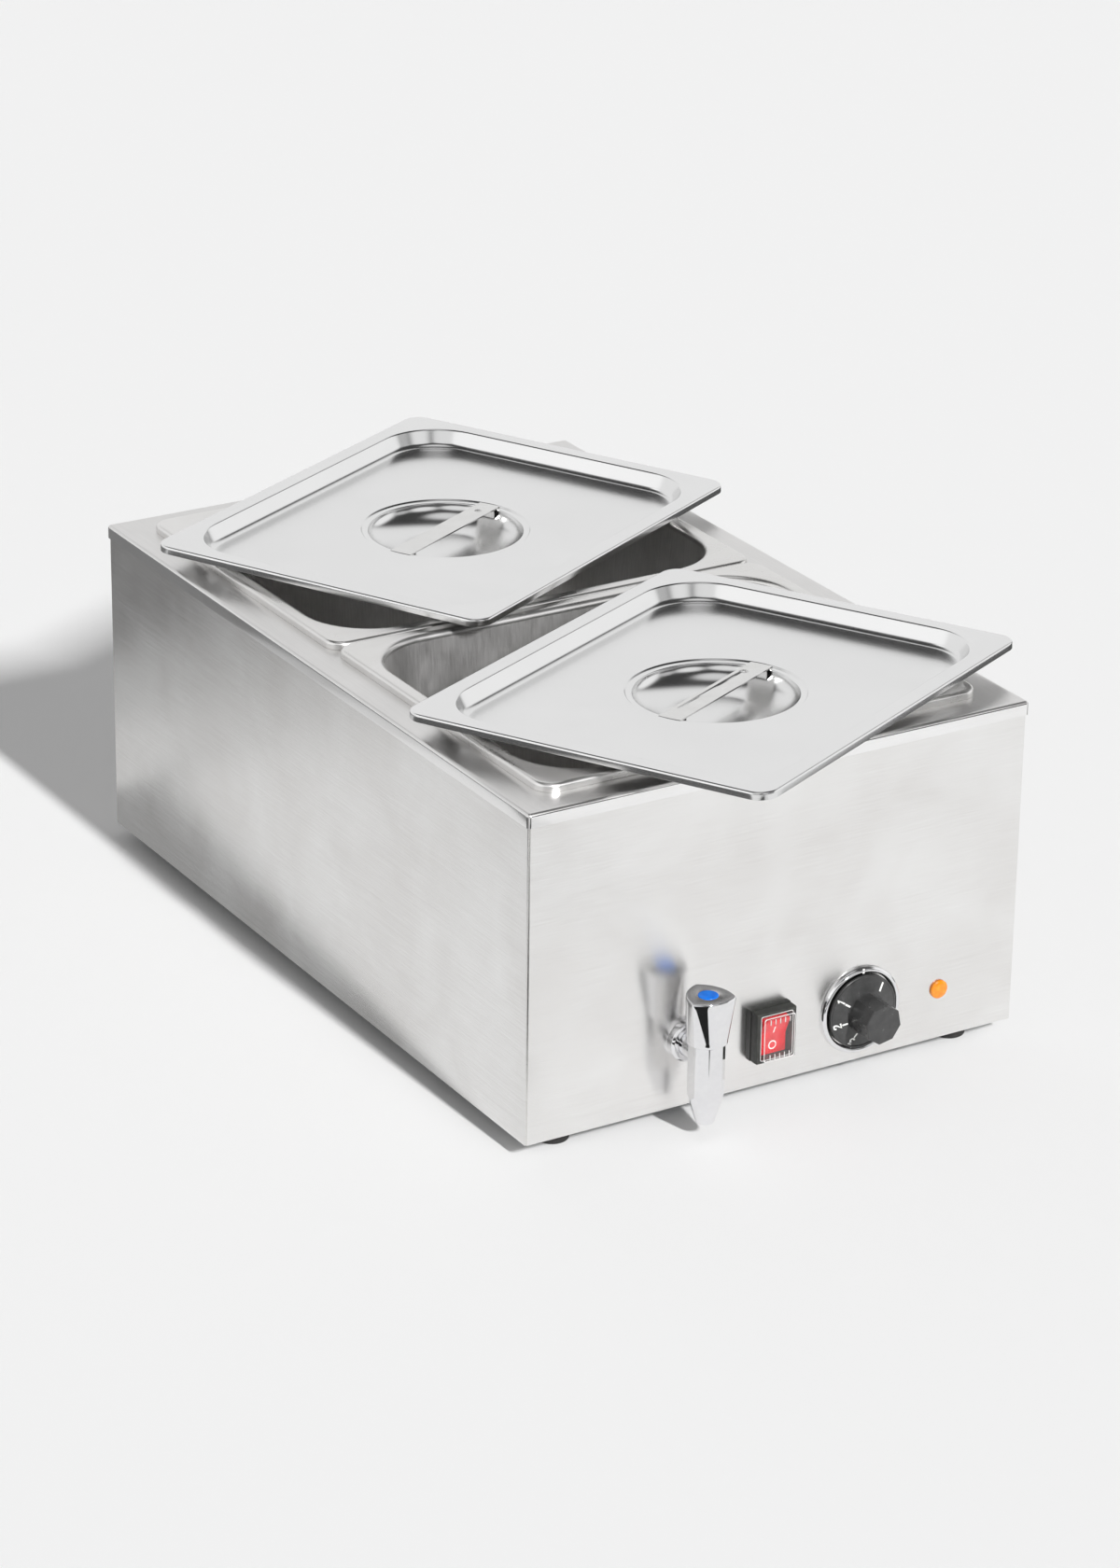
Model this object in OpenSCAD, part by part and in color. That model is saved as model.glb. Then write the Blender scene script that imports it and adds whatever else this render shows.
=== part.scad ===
// Electric wet-well food warmer with two half-size pans, lids and a drain tap.
// X runs to the right along the front, Y to the rear, Z up from the worktop.

/* [Casing] */
// Width of the deck over its folded lips
deck_w = 370; // [364:1:440]
// Depth of the deck over its folded lips, front to rear
deck_d = 573; // [573:1:660]
// Height of the deck's top face above the worktop
body_h = 236; // [230:1:300]
// Thickness of the casing sheet
sheet = 1; // [0.8:0.1:1.5]
// Height of the deck's folded lip
lip_h = 9.5; // [6:0.5:20]
// Outer radius of the deck's folded edge
deck_edge_r = 2.5; // [2:0.1:4]
// Gap between the deck's lip and the casing
lap_gap = 0.1; // [0.05:0.05:0.5]
// Width of the folds along the casing's lower edge
return_w = 10; // [8:0.5:10]
// Width of the casing's folds behind the front panel
fold_w = 14; // [10:1:20]
// Distance from the side's face to the front panel's edge
panel_set = 1.2; // [0.5:0.1:3]

/* [Feet] */
// Height of a rubber foot, up to the base plate
foot_h = 13; // [10:0.5:20]
// Radius of a foot where it stands
foot_r = 11; // [9.5:0.5:12]
// Radius of a foot at the base plate
foot_top_r = 10; // [8:0.5:11]
// Distance from the deck's side to a foot's centre
foot_in_x = 34; // [28:1:60]
// Distance from the deck's front or rear to a foot's centre
foot_in_y = 24; // [24:0.5:26]

/* [Well] */
// Distance from the deck's side to the water well
well_in_x = 32.5; // [31:0.5:33.5]
// Distance from the deck's front or rear to the water well
well_in_y = 31.5; // [30:0.5:33]
// Corner radius of the well
well_r = 30; // [20:1:40]
// Thickness of the tank sheet
tank_t = 0.8; // [0.6:0.1:1]
// Height of the tank's inner floor above the worktop
tank_floor = 78; // [76:0.5:82]
// Width of the tank's flange under the deck
tank_flange = 12; // [8:1:14]

/* [Pans] */
// How far a pan's rim reaches past the well's side
rim_over_x = 10; // [8:0.5:12]
// How far a pan's rim reaches past the well's front or rear
rim_over_y = 10.2; // [9:0.1:11.5]
// Height of the rim's skirt above the deck
rim_h = 5.5; // [4:0.5:8]
// Width of the rim from its edge to the pan's wall
rim_flange = 12.5; // [12:0.5:14]
// Outer corner radius of the rim
rim_r = 8; // [6:0.5:12]
// Radius of the rim's rounded outer edge
rim_edge_r = 3; // [2:0.5:3.5]
// Radius of the roll from the rim down to the wall
roll_r = 4.5; // [3:0.5:6]
// Corner radius of a pan's mouth
mouth_r = 45; // [38:1:52]
// Depth of a pan
pan_depth = 150; // [100:5:150]
// Thickness of the pan sheet
pan_t = 0.8; // [0.6:0.1:1]
// How much each wall leans in from mouth to floor
pan_draft = 9; // [4:0.5:12]
// Radius between a pan's wall and floor
pan_floor_r = 15; // [10:1:20]
// Gap between the two pans' rims
pan_gap = 0.4; // [0.3:0.1:2]

/* [Lids] */
// Distance from the ends of a pan's rim to its lid's edge
lid_in_x = 1.5; // [0:0.5:3.5]
// Distance from the sides of a pan's rim to its lid's edge
lid_in_y = 1.25; // [0:0.25:3.5]
// Thickness of the lid sheet
lid_t = 0.8; // [0.6:0.1:1]
// Outer corner radius of a lid
lid_r = 9; // [6:0.5:12]
// Height of a lid's folded edge
lid_lip_h = 5.2; // [4:0.1:7]
// Radius of a lid's folded edge
lid_edge_r = 1.8; // [1.2:0.1:3]
// Width of a lid's flange from its edge to the recess
lid_flange = 12.5; // [11:0.5:15]
// Depth of the pressed recess
lid_drop = 11.5; // [9:0.5:13]
// Corner radius of the recess at the flange
recess_r = 42; // [34:1:48]
// Run of the recess wall, seen from above
wall_run = 5.5; // [4:0.5:7]
// Radii of the bends at the top and the bottom of the recess wall
bend_r = 2.5; // [1.5:0.1:3]
// Radius of the hand cup
cup_r = 58.5; // [54:0.5:60]
// Width of the shoulder round the hand cup
cup_band = 5; // [3:0.5:6]
// Step from the panel down to that shoulder
cup_step = 1; // [0.6:0.1:1.2]
// Depth of the hand cup below the panel
cup_depth = 15; // [12:0.5:18]
// Radius of the hand cup's flat floor
cup_floor_r = 30; // [24:1:34]
// Width of the strap across the cup
strap_w = 16; // [12:1:18]
// Radius of the hole in the rear lid's strap
strap_hole_r = 2.6; // [2:0.1:3.5]
// Width of the slot in the front lid's strap
strap_slot_w = 2.5; // [2:0.1:3]

/* [Lids' places in the photograph] */
// Rear lid's centre to the right of the well's centre
rear_lid_x = 8; // [0:0.5:12]
// Rear lid's centre behind the rear pan's centre
rear_lid_y = 19.5; // [15:0.5:22]
// Rear lid's turn, counter-clockwise from above
rear_lid_turn = 27.5; // [24:0.5:30]
// Front lid's centre to the right of the well's centre
front_lid_x = 9.6; // [4:0.1:14]
// Front lid's centre in front of the front pan's centre
front_lid_y = 57.5; // [56:0.5:60]
// Front lid's turn, counter-clockwise from above
front_lid_turn = 26.5; // [24:0.5:29]
// Front lid's fall towards the rear
front_lid_fall = 1.72; // [1:0.01:2]
// How far the fallen lid's centre stands above a flat lid's
front_lid_rise = 1.5; // [1.5:0.1:4]

/* [Drain tap] */
// Tap axis to the left of the centre
tap_left = 68.4; // [60:0.1:100]
// Tap axis in front of the panel
tap_out = 24.9; // [22:0.1:32]
// Height of the tap's inlet above the worktop
tap_z = 58; // [57:0.5:60]
// Radius of the tap body over its corners
tap_r = 12; // [11:0.1:12.5]
// Height of the tap body's top
tap_top = 67; // [67:0.5:72]
// Height at which the spout starts to taper
spout_top = 34; // [30:0.5:38]
// Radius of the spout's tip
spout_r = 5.8; // [5.2:0.1:7]
// Height of the spout's tip
spout_z = 11.3; // [9:0.1:14]
// Radius of the water way
bore_r = 4; // [3:0.1:4.2]
// Radius of the tap's neck
neck_r = 9; // [8:0.1:10]
// Radius of the plug in the tap
plug_r = 6.5; // [6:0.1:7]
// Radial clearance of the plug and other turning fits
turn_gap = 0.05; // [0.02:0.01:0.1]
// Radius of the collar between tap and panel
collar_r = 13.5; // [12.5:0.5:15]
// Thickness of that collar
collar_t = 6.5; // [4:0.5:8]
// Height of the handle's top
handle_top = 99; // [97:0.5:106]
// Radius of the handle's round foot
handle_foot_r = 13.2; // [12.6:0.1:14]
// Reach of the handle's three corners before rounding
handle_corner = 17.5; // [16:0.1:19]
// Reach of the handle's three sides
handle_side = 14; // [13:0.1:15]
// Radius of the blue cap
index_r = 6.5; // [5:0.1:7.5]

/* [Switch] */
// Switch centre to the left of the centre
switch_left = 6.3; // [0:0.1:10]
// Height of the switch's centre
switch_z = 49.5; // [46:0.5:54]
// Width of the switch frame
frame_w = 30; // [29:0.5:34]
// Height of the switch frame
frame_h = 35.5; // [35:0.5:40]
// How far the switch frame stands out
frame_out = 10; // [9.5:0.5:12]
// Width of the window
window_w = 22.5; // [22:0.1:23.5]
// Height of the window
window_h = 29.5; // [29:0.1:30]
// How far the clear cover stands out of the frame
cover_out = 4; // [3.5:0.1:6]
// Wall of the clear cover
cover_t = 0.8; // [0.6:0.1:1]
// Width of the rocker
rocker_w = 20; // [18:0.1:20.2]
// Half of the rocker's swing
rocker_tilt = 11; // [8:0.5:12]

/* [Thermostat] */
// Knob centre to the right of the centre
knob_right = 63.3; // [60:0.1:75]
// Height of the knob's centre
knob_z = 47.5; // [46:0.5:54]
// Outer radius of the chrome bezel
bezel_r = 30; // [29:0.5:33]
// Inner radius of the chrome bezel
bezel_in_r = 25.6; // [25.4:0.1:27]
// Height of the bezel
bezel_h = 3.6; // [2.5:0.1:4.5]
// Radius of the dial
dial_r = 25; // [22:0.5:25]
// Radius of the grip over its corners
grip_r = 13.5; // [12:0.5:15]
// Distance from the panel to the grip's front
knob_out = 28; // [24:0.5:32]
// Radius of the shaft
shaft_r = 3; // [2.5:0.1:3.5]

/* [Pilot lamp] */
// Lamp centre to the right of the centre
lamp_right = 124.9; // [115:0.1:140]
// Height of the lamp's centre
lamp_z = 47; // [40:0.5:60]
// Radius of the lens
lens_r = 6.35; // [6:0.05:8]
// How far the lens stands out
lens_out = 2.8; // [2:0.1:5]

/* [Heating] */
// Radius of the tubular heater
heater_r = 4; // [3:0.1:4.5]
// Half of the distance between the heater's legs
leg_half = 30; // [28:1:34]
// Rear end of the heater's straight legs
leg_rear = 150; // [120:1:180]
// Front end of the heater's straight legs
leg_front = 120; // [100:1:150]
// Extra length of the heater's two cold ends
cold_end = 30; // [20:1:40]

/* [Supply] */
// Gland and terminal block to the right of the centre
gland_right = 120; // [110:1:130]
// Height of the gland
gland_z = 45; // [40:1:60]
// Radius of the gland's cord bore
gland_bore_r = 5; // [4:0.5:6]

/* [Hidden] */

$fn = 64;
over = 1;            // overrun of every cut
thread_gap = 0.05;   // radial gap between a screw and its nut
hole_gap = 0.15;     // radial gap between a screw and a plain hole
seat_gap = 0.05;     // gap where a round piece lies along a flat one
slab = 0.01;         // height of the thin slices that a hull joins
fine_count = 100;    // steps per millimetre that worked-out places are rounded to

// Casing
case_w = deck_w - 2 * (sheet + lap_gap);
case_d = deck_d - 2 * (sheet + lap_gap);
front_y = -case_d / 2;
rear_y = case_d / 2;
case_z = foot_h - sheet;
plate_top = foot_h + sheet;
deck_under = body_h - sheet;
well_w = deck_w - 2 * well_in_x;
well_d = deck_d - 2 * well_in_y;
wall_top = body_h - deck_edge_r;
case_bend_r = 2;
plate_gap = 0.3;
panel_back = front_y + sheet;

// Feet and their fasteners
foot_x = deck_w / 2 - foot_in_x;
foot_y = deck_d / 2 - foot_in_y;
foot_screw_r = 2.5;
foot_head_r = 4.8;
foot_head_h = 3;
foot_sink = 6;
nut_h = 4;
nut_flats = 8;
foot_spots = [for (x = [-foot_x, foot_x], y = [-foot_y, foot_y]) [x, y]];

// Base screws go through the folds into the plate
base_screw_r = 2;
base_head_r = 3.8;
base_head_h = 2;
base_screw_l = 7;
fold_mid = return_w / 2;
side_row_shares = [-0.3, 0, 0.3];
end_row_shares = [-0.17, 0.17];
base_spots = concat(
    [for (s = side_row_shares, x = [-1, 1]) [x * (case_w / 2 - fold_mid), s * case_d]],
    [for (s = end_row_shares, y = [-1, 1]) [s * case_w, y * (case_d / 2 - fold_mid)]]);

// Vent slots in the base plate
vent_l = 70;
vent_w = 5;
vent_pitch = 14;
vent_count = 7;
vent_x = 62;

// Tank and drain
tank_under = tank_floor - tank_t;
drain_in = 30;
drain_y = drain_in - well_d / 2;
drain_flange_r = 15;
drain_flange_h = 1.5;
drain_neck_r = 8.8;
drain_neck_l = 6.7;
pipe_r = 6;
pipe_t = 1;
elbow_r = 12;
pipe_in = 7;
drain_nut_flats = 24;
drain_nut_h = 5;

// Pans
rim_top = body_h + rim_h;
rim_w = well_w + 2 * rim_over_x;
rim_d = (well_d - pan_gap) / 2 + rim_over_y;
mouth_w = rim_w - 2 * rim_flange;
mouth_d = rim_d - 2 * rim_flange;
pan_y = (rim_d + pan_gap) / 2;
lid_w = rim_w - 2 * lid_in_x;
lid_d = rim_d - 2 * lid_in_y;

// Tap
tap_x = -tap_left;
tap_y = front_y - tap_out;
neck_in = 14;
plug_l = 12;
plug_z = tap_z - plug_l;
ring_h = 4.2;
ring_z = tap_top - ring_h;
stem_r = 4;
stem_sink = 9;
stem_top = handle_top - stem_sink;
handle_gap = 0.3;
handle_foot_h = 2;
handle_round_r = 2.5;
handle_bevel = 1.2;
handle_turn = 84;
tap_turn = 22.5;
index_sink = 1.2;
index_h = 2;
tap_screw_r = 2;
tap_screw_head_r = 3.5;
tap_screw_head_h = 3;
tap_screw_l = 12;
tap_web = 4.5;
gasket_t = 1.5;
gasket_r = 13;
lock_flats = 26;
lock_h = 5;
collar_bevel = 1.5;

// Share of its thickness by which the cup's underside stands out from the bowl
cup_lean_share = 0.7;

// Strap's slot and holes, as shares of the strap's and the slot's own sizes
slot_in_share = 1.6;
slot_end_share = 1.2;
slot_hole_share = 1.2;
rear_hole_share = 1.05;

// Strap's tabs reach down by this share of the cup's bowl
tab_share = 0.38;
tab_h = tab_share * (cup_depth - cup_step);

// Heater and its clamps
heater_z = tank_under - heater_r - seat_gap;
bar_w = 18;
bar_t = 2;
bar_z = heater_z - heater_r - seat_gap - bar_t;
bar_l = 6 * leg_half + 4 * bar_w;
bar_back_share = 1.3; // distance of the rear bar from the bends, in half leg gaps
bar_spots = [-leg_front / 2, leg_rear - bar_back_share * leg_half];
stud_r = 2;
stud_nut_flats = 7;
stud_nut_h = 3.2;
stud_tail = 3;
stud_xs = [for (k = [-1, 0, 1]) k * (3 * leg_half + 3 * heater_r)];
bulb_r = 3;
bulb_l = 80;
bulb_x = 2 * leg_half;
bulb_y = -leg_half;
bulb_z = tank_under - bulb_r - seat_gap;
capillary_r = 0.8;
clip_w = 14;
clip_l = 8;
clip_h = 7;
cutout_r = 8;
cutout_h = 7;
cutout_y = leg_half;
cutout_flange = 1;

// Switch
switch_x = -switch_left;
flange_t = 2.5;
groove_t = 0.8;
groove_in = 0.7;
body_in = 0.3;
housing_w = 24.4;
housing_h = 31.4;
housing_side = 1.8;
housing_end = 0.95;
housing_d = 24;
housing_gap = 0.15;
cavity_d = 8.5;
pivot_in = 3;
rocker_gap = 0.27;
rocker_face = 5.5;
rocker_pin_r = 1.5;
rocker_pin_l = 1.2;
rocker_hub_r = 3;
rib_w = 0.7;
rib_h = 0.4;
rib_l = 4;
rib_count = 5;
rib_pitch = 3.6;
blade_w = 6.3;
blade_t = 0.8;
blade_l = 8;
blade_x = 6;
blade_z = 8;

// Thermostat
knob_x = knob_right;
stat_w = 34;
stat_h = 40;
stat_d = 20;
stat_boss_r = 5;
stat_boss_l = 1.4;
stat_screw_x = 14;
stat_screw_r = 1.9;
stat_head_r = 3.5;
stat_head_h = 2;
stat_screw_l = 8;
shaft_in = 15;
shaft_out = 14;
dial_back = 2.6;
dial_rim = 1.8;
dial_lip = 0.8;
dial_face = 7.6;
grip_turn = 11.4;

// Lamp
lamp_x = lamp_right;
lamp_r = 5;
lamp_l = 26;
lamp_wall = 1;
lamp_nut_r = 8;
lamp_nut_h = 3;
lens_edge = 1;
lens_stem_l = 8;

// Supply
block_l = 44;
block_w = 20;
block_h = 16;
block_in = 70;
block_y = rear_y - block_in;
block_screw_r = 1.8;
block_pitch = 14;
block_row = 5;
block_head_r = 2.7;
block_head_h = 1.5;
earth_in = 50;
earth_x = gland_right - earth_in;
earth_l = 12;
gland_r = 10;
gland_in = 9;
gland_flats = 24;
gland_hex = 6;
gland_dome = 12;
gland_tip_r = 7.5;
gland_nut_flats = 26;
gland_nut_h = 5;
wire_r = 1.4;
wire_pitch = 4;
wire_lift = 6;
wire_z = plate_top + wire_lift;
wire_in = 34;
wire_x = case_w / 2 - wire_in;
wire_end = 0.3;
wire_turn_in = 45;
wire_turn_y = wire_turn_in - well_d / 2;

// Radius over the corners of a hexagon of that width over its flats
function hex_r(flats) = flats / 2 / cos(30);

// Points of an arc, from angle a0 to angle a1
function arc(cx, cy, r, a0, a1, n = 6) =
    [for (k = [0:n]) let (a = a0 + (a1 - a0) * k / n) [cx + r * cos(a), cy + r * sin(a)]];

// The same points in the other order
function turned(p) = [for (k = [len(p) - 1:-1:0]) p[k]];

// Section of a folded edge: x from the corner's centre, y down from the top face
function edge_section(r, edge_r, h, t) = concat(
    arc(r - edge_r, -edge_r, edge_r, 90, 0),
    [[r, -h], [r - t, -h]],
    arc(r - edge_r, -edge_r, edge_r - t, 0, 90));

function fine(length) = round(length * fine_count) / fine_count;

// Rectangle w by d with round corners of radius r
module plan(w, d, r) {
    x1 = fine(w / 2 - r);
    y1 = fine(d / 2 - r);
    square([2 * x1, 2 * (y1 + r)], center = true);
    square([2 * (x1 + r), 2 * y1], center = true);
    for (x = [-x1, x1], y = [-y1, y1])
        translate([x, y])
            circle(r);
}

// Runs a section round that rectangle; the section's x starts at the corner's centre
module run_round(w, d, r) {
    for (q = [0:3]) {
        x1 = fine((q % 2 == 0 ? w : d) / 2 - r);
        y1 = fine((q % 2 == 0 ? d : w) / 2 - r);
        rotate([0, 0, 90 * q]) {
            translate([x1, y1, 0])
                rotate_extrude(angle = 90)
                    children();
            translate([x1, 0, 0])
                rotate([90, 0, 0])
                    linear_extrude(height = 2 * y1, center = true)
                        children();
        }
    }
}

// Box centred in x and y, from height z0 to z1
module block(w, d, z0, z1) {
    translate([-w / 2, -d / 2, z0])
        cube([w, d, z1 - z0]);
}

// Cylinder whose axis runs along Y, from y0 to y1
module rod_y(x, z, r, y0, y1) {
    translate([x, y1, z])
        rotate([90, 0, 0])
            cylinder(r = r, h = y1 - y0);
}

// Hexagonal nut with its bore, standing on z = 0
module hex_nut(flats, h, r) {
    difference() {
        cylinder(r = hex_r(flats), h = h, $fn = 6);
        translate([0, 0, -over])
            cylinder(r = r, h = h + 2 * over);
    }
}

// Slot of length l and width w with round ends, along x
module slot(l, w) {
    square([l - w, w], center = true);
    for (s = [-1, 1])
        translate([s * (l - w) / 2, 0])
            circle(w / 2);
}

// Unit vector along v
function unit(v) = v / norm(v);

// Direction of a route at its point k, halfway between the runs that meet there
function heading(p, k) =
    let (a = k > 0 ? unit(p[k] - p[k - 1]) : [0, 0, 0],
        b = k < len(p) - 1 ? unit(p[k + 1] - p[k]) : [0, 0, 0])
    unit(a + b);

// First ring of a lead of radius r, square to its first run
function first_ring(p, r, sides) =
    let (d = unit(p[1] - p[0]), u = unit(cross(d, abs(d[2]) > 0.9 ? [1, 0, 0] : [0, 0, 1])),
        v = cross(d, u))
    [for (j = [0:sides - 1]) let (a = 360 * j / sides) p[0] + r * (cos(a) * u + sin(a) * v)];

// The ring slid along its run to the mitre plane at point k
function slid_ring(ring, p, k) =
    let (d = unit(p[k] - p[k - 1]), n = heading(p, k))
    [for (q = ring) q + d * ((p[k] - q) * n) / (d * n)];

// Rings at every point of the route, as one list of points
function lead_rings(p, ring, k = 0) =
    k == len(p) - 1 ? ring : concat(ring, lead_rings(p, slid_ring(ring, p, k + 1), k + 1));

// Lead of radius r that follows a route with mitred turns
module lead(p, r, sides = 8) {
    polyhedron(
        points = lead_rings(p, first_ring(p, r, sides)),
        faces = concat(
            [[for (j = [0:sides - 1]) j]],
            [[for (j = [sides - 1:-1:0]) (len(p) - 1) * sides + j]],
            [for (k = [0:len(p) - 2], j = [0:sides - 1])
                [k * sides + j, (k + 1) * sides + j, (k + 1) * sides + (j + 1) % sides,
                    k * sides + (j + 1) % sides]]));
}

module casing_wrap() {
    color([0.78, 0.78, 0.78])
        difference() {
            translate([0, 0, case_z])
                linear_extrude(height = wall_top - case_z)
                    plan(case_w, case_d, case_bend_r);
            // The front sheet lies over this face
            translate([-case_w / 2 - over, front_y - over, case_z - over])
                cube([case_w + 2 * over, sheet + over, body_h]);
            translate([0, 0, foot_h])
                linear_extrude(height = body_h)
                    difference() {
                        plan(case_w - 2 * sheet, case_d - 2 * sheet, case_bend_r - sheet);
                        translate([-case_w / 2, front_y])
                            square([case_w, 2 * sheet]);
                    }
            translate([-case_w / 2 + return_w, panel_back - over, case_z - over])
                cube([case_w - 2 * return_w, case_d - sheet - return_w + over, sheet + 2 * over]);
            translate([-case_w / 2 + fold_w, panel_back - over, case_z])
                cube([case_w - 2 * fold_w, sheet + 2 * over, body_h]);
            for (p = base_spots)
                translate([p[0], p[1], case_z - over])
                    cylinder(r = base_screw_r + hole_gap, h = sheet + 2 * over);
            rod_y(gland_right, gland_z, gland_r + hole_gap, rear_y - sheet - over, rear_y + over);
        }
}

module front_panel() {
    panel_w = case_w - 2 * panel_set;
    color([0.86, 0.86, 0.85])
        difference() {
            union() {
                translate([-panel_w / 2, front_y, case_z])
                    cube([panel_w, sheet, wall_top - case_z]);
                translate([-case_w / 2 + return_w + plate_gap, front_y, case_z])
                    cube([case_w - 2 * return_w - 2 * plate_gap, return_w, sheet]);
            }
            rod_y(tap_x, tap_z, neck_r + hole_gap, front_y - over, panel_back + over);
            rod_y(knob_x, knob_z, stat_boss_r + hole_gap, front_y - over, panel_back + over);
            for (s = [-1, 1])
                rod_y(knob_x + s * stat_screw_x, knob_z, stat_screw_r + hole_gap,
                    front_y - over, panel_back + over);
            rod_y(lamp_x, lamp_z, lamp_r + hole_gap, front_y - over, panel_back + over);
            translate([switch_x - housing_w / 2 - housing_gap, front_y - over,
                switch_z - housing_h / 2 - housing_gap])
                cube([housing_w + 2 * housing_gap, sheet + 2 * over, housing_h + 2 * housing_gap]);
            for (p = base_spots)
                translate([p[0], p[1], case_z - over])
                    cylinder(r = base_screw_r + hole_gap, h = sheet + 2 * over);
        }
}

module base_plate() {
    inner_w = case_w - 2 * sheet - 2 * plate_gap;
    y0 = panel_back + sheet + plate_gap;
    color([0.72, 0.72, 0.72])
        difference() {
            translate([-inner_w / 2, y0, foot_h])
                cube([inner_w, rear_y - sheet - plate_gap - y0, sheet]);
            for (s = [-1, 1], g = [-1, 1], k = [0:vent_count - 1])
                translate([s * vent_x, g * case_d / 5 + (k - (vent_count - 1) / 2) * vent_pitch,
                    foot_h - over])
                    linear_extrude(height = sheet + 2 * over)
                        slot(vent_l, vent_w);
            for (p = foot_spots)
                translate([p[0], p[1], foot_h - over])
                    cylinder(r = foot_screw_r + hole_gap, h = sheet + 2 * over);
            for (p = base_spots)
                translate([p[0], p[1], foot_h - over])
                    cylinder(r = base_screw_r + thread_gap, h = sheet + 2 * over);
        }
}

module base_screws() {
    color([0.6, 0.6, 0.62])
        for (p = base_spots)
            translate([p[0], p[1], case_z]) {
                cylinder(r = base_screw_r, h = base_screw_l);
                translate([0, 0, -base_head_h])
                    cylinder(r1 = base_head_r - base_head_h / 2, r2 = base_head_r, h = base_head_h);
            }
}

module deck() {
    r = deck_edge_r;
    color([0.82, 0.82, 0.82])
        difference() {
            union() {
                block(deck_w - 2 * r, deck_d - 2 * r, deck_under, body_h);
                translate([0, 0, body_h])
                    run_round(deck_w, deck_d, r)
                        polygon(edge_section(r, r, lip_h, sheet));
            }
            translate([0, 0, deck_under - over])
                linear_extrude(height = sheet + 2 * over)
                    plan(well_w, well_d, well_r);
        }
}

module well_tank() {
    color([0.75, 0.76, 0.77])
        difference() {
            union() {
                translate([0, 0, tank_under])
                    linear_extrude(height = deck_under - tank_under)
                        plan(well_w + 2 * tank_t, well_d + 2 * tank_t, well_r + tank_t);
                translate([0, 0, deck_under - tank_t])
                    linear_extrude(height = tank_t)
                        plan(well_w + 2 * tank_flange, well_d + 2 * tank_flange,
                            well_r + tank_flange);
            }
            translate([0, 0, tank_floor])
                linear_extrude(height = body_h)
                    plan(well_w, well_d, well_r);
            translate([tap_x, drain_y, tank_under - over])
                cylinder(r = drain_neck_r + hole_gap, h = tank_t + 2 * over);
        }
}

module drain_fitting() {
    color([0.8, 0.68, 0.42])
        translate([tap_x, drain_y, 0])
            difference() {
                union() {
                    translate([0, 0, tank_floor])
                        cylinder(r = drain_flange_r, h = drain_flange_h);
                    translate([0, 0, tank_under - drain_neck_l])
                        cylinder(r = drain_neck_r, h = drain_neck_l + tank_t + drain_flange_h / 2);
                }
                translate([0, 0, tank_under - drain_neck_l - over])
                    cylinder(r = pipe_r + thread_gap, h = drain_neck_l + tank_t
                        + drain_flange_h + 2 * over);
            }
}

module drain_nut() {
    color([0.78, 0.66, 0.4])
        translate([tap_x, drain_y, tank_under - drain_nut_h])
            hex_nut(drain_nut_flats, drain_nut_h, drain_neck_r + thread_gap);
}

module drain_pipe() {
    start_z = tap_z + elbow_r;
    pipe_end = front_y + neck_in - pipe_in;
    color([0.72, 0.45, 0.25])
        difference() {
            union() {
                translate([tap_x, drain_y, start_z])
                    cylinder(r = pipe_r, h = tank_under - start_z);
                translate([tap_x, drain_y - elbow_r, start_z])
                    rotate([90, 0, 90])
                        rotate([0, 0, -90])
                            rotate_extrude(angle = 90)
                                translate([elbow_r, 0])
                                    circle(pipe_r);
                rod_y(tap_x, tap_z, pipe_r, pipe_end, drain_y - elbow_r);
            }
            translate([tap_x, drain_y, start_z])
                cylinder(r = pipe_r - pipe_t, h = tank_under);
            translate([tap_x, drain_y - elbow_r, start_z])
                rotate([90, 0, 90])
                    rotate([0, 0, -90])
                        rotate_extrude(angle = 90)
                            translate([elbow_r, 0])
                                circle(pipe_r - pipe_t);
            rod_y(tap_x, tap_z, pipe_r - pipe_t, pipe_end - over, drain_y - elbow_r);
        }
}

module tap_body() {
    cone_r = tap_r + over / 2;
    color([0.85, 0.86, 0.88])
        difference() {
            union() {
                intersection() {
                    translate([tap_x, tap_y, spout_z])
                        rotate([0, 0, tap_turn])
                            cylinder(r = tap_r, h = tap_top - spout_z, $fn = 8);
                    translate([tap_x, tap_y, 0])
                        union() {
                            translate([0, 0, spout_z])
                                cylinder(r1 = spout_r, r2 = cone_r, h = spout_top - spout_z);
                            translate([0, 0, spout_top])
                                cylinder(r = cone_r, h = tap_top);
                        }
                }
                rod_y(tap_x, tap_z, neck_r, tap_y, front_y + neck_in);
            }
            translate([tap_x, tap_y, spout_z - over])
                cylinder(r = bore_r, h = tap_top - spout_z);
            translate([tap_x, tap_y, plug_z])
                cylinder(r = plug_r + turn_gap, h = tap_top);
            rod_y(tap_x, tap_z, bore_r, tap_y, front_y + neck_in);
            rod_y(tap_x, tap_z, pipe_r + thread_gap, front_y + neck_in - pipe_in,
                front_y + neck_in + over);
        }
}

module tap_collar() {
    color([0.82, 0.83, 0.85])
        translate([tap_x, front_y, tap_z])
            rotate([90, 0, 0])
                rotate_extrude()
                    polygon([[neck_r + thread_gap, 0], [collar_r, 0],
                        [collar_r, collar_t - collar_bevel], [collar_r - collar_bevel, collar_t],
                        [neck_r + thread_gap, collar_t]]);
}

module tap_gasket() {
    color([0.15, 0.15, 0.15])
        difference() {
            rod_y(tap_x, tap_z, gasket_r, panel_back, panel_back + gasket_t);
            rod_y(tap_x, tap_z, neck_r + thread_gap, front_y, panel_back + gasket_t + over);
        }
}

module tap_lock_nut() {
    color([0.8, 0.68, 0.42])
        translate([tap_x, panel_back + gasket_t + lock_h, tap_z])
            rotate([90, 0, 0])
                hex_nut(lock_flats, lock_h, neck_r + thread_gap);
}

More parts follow.
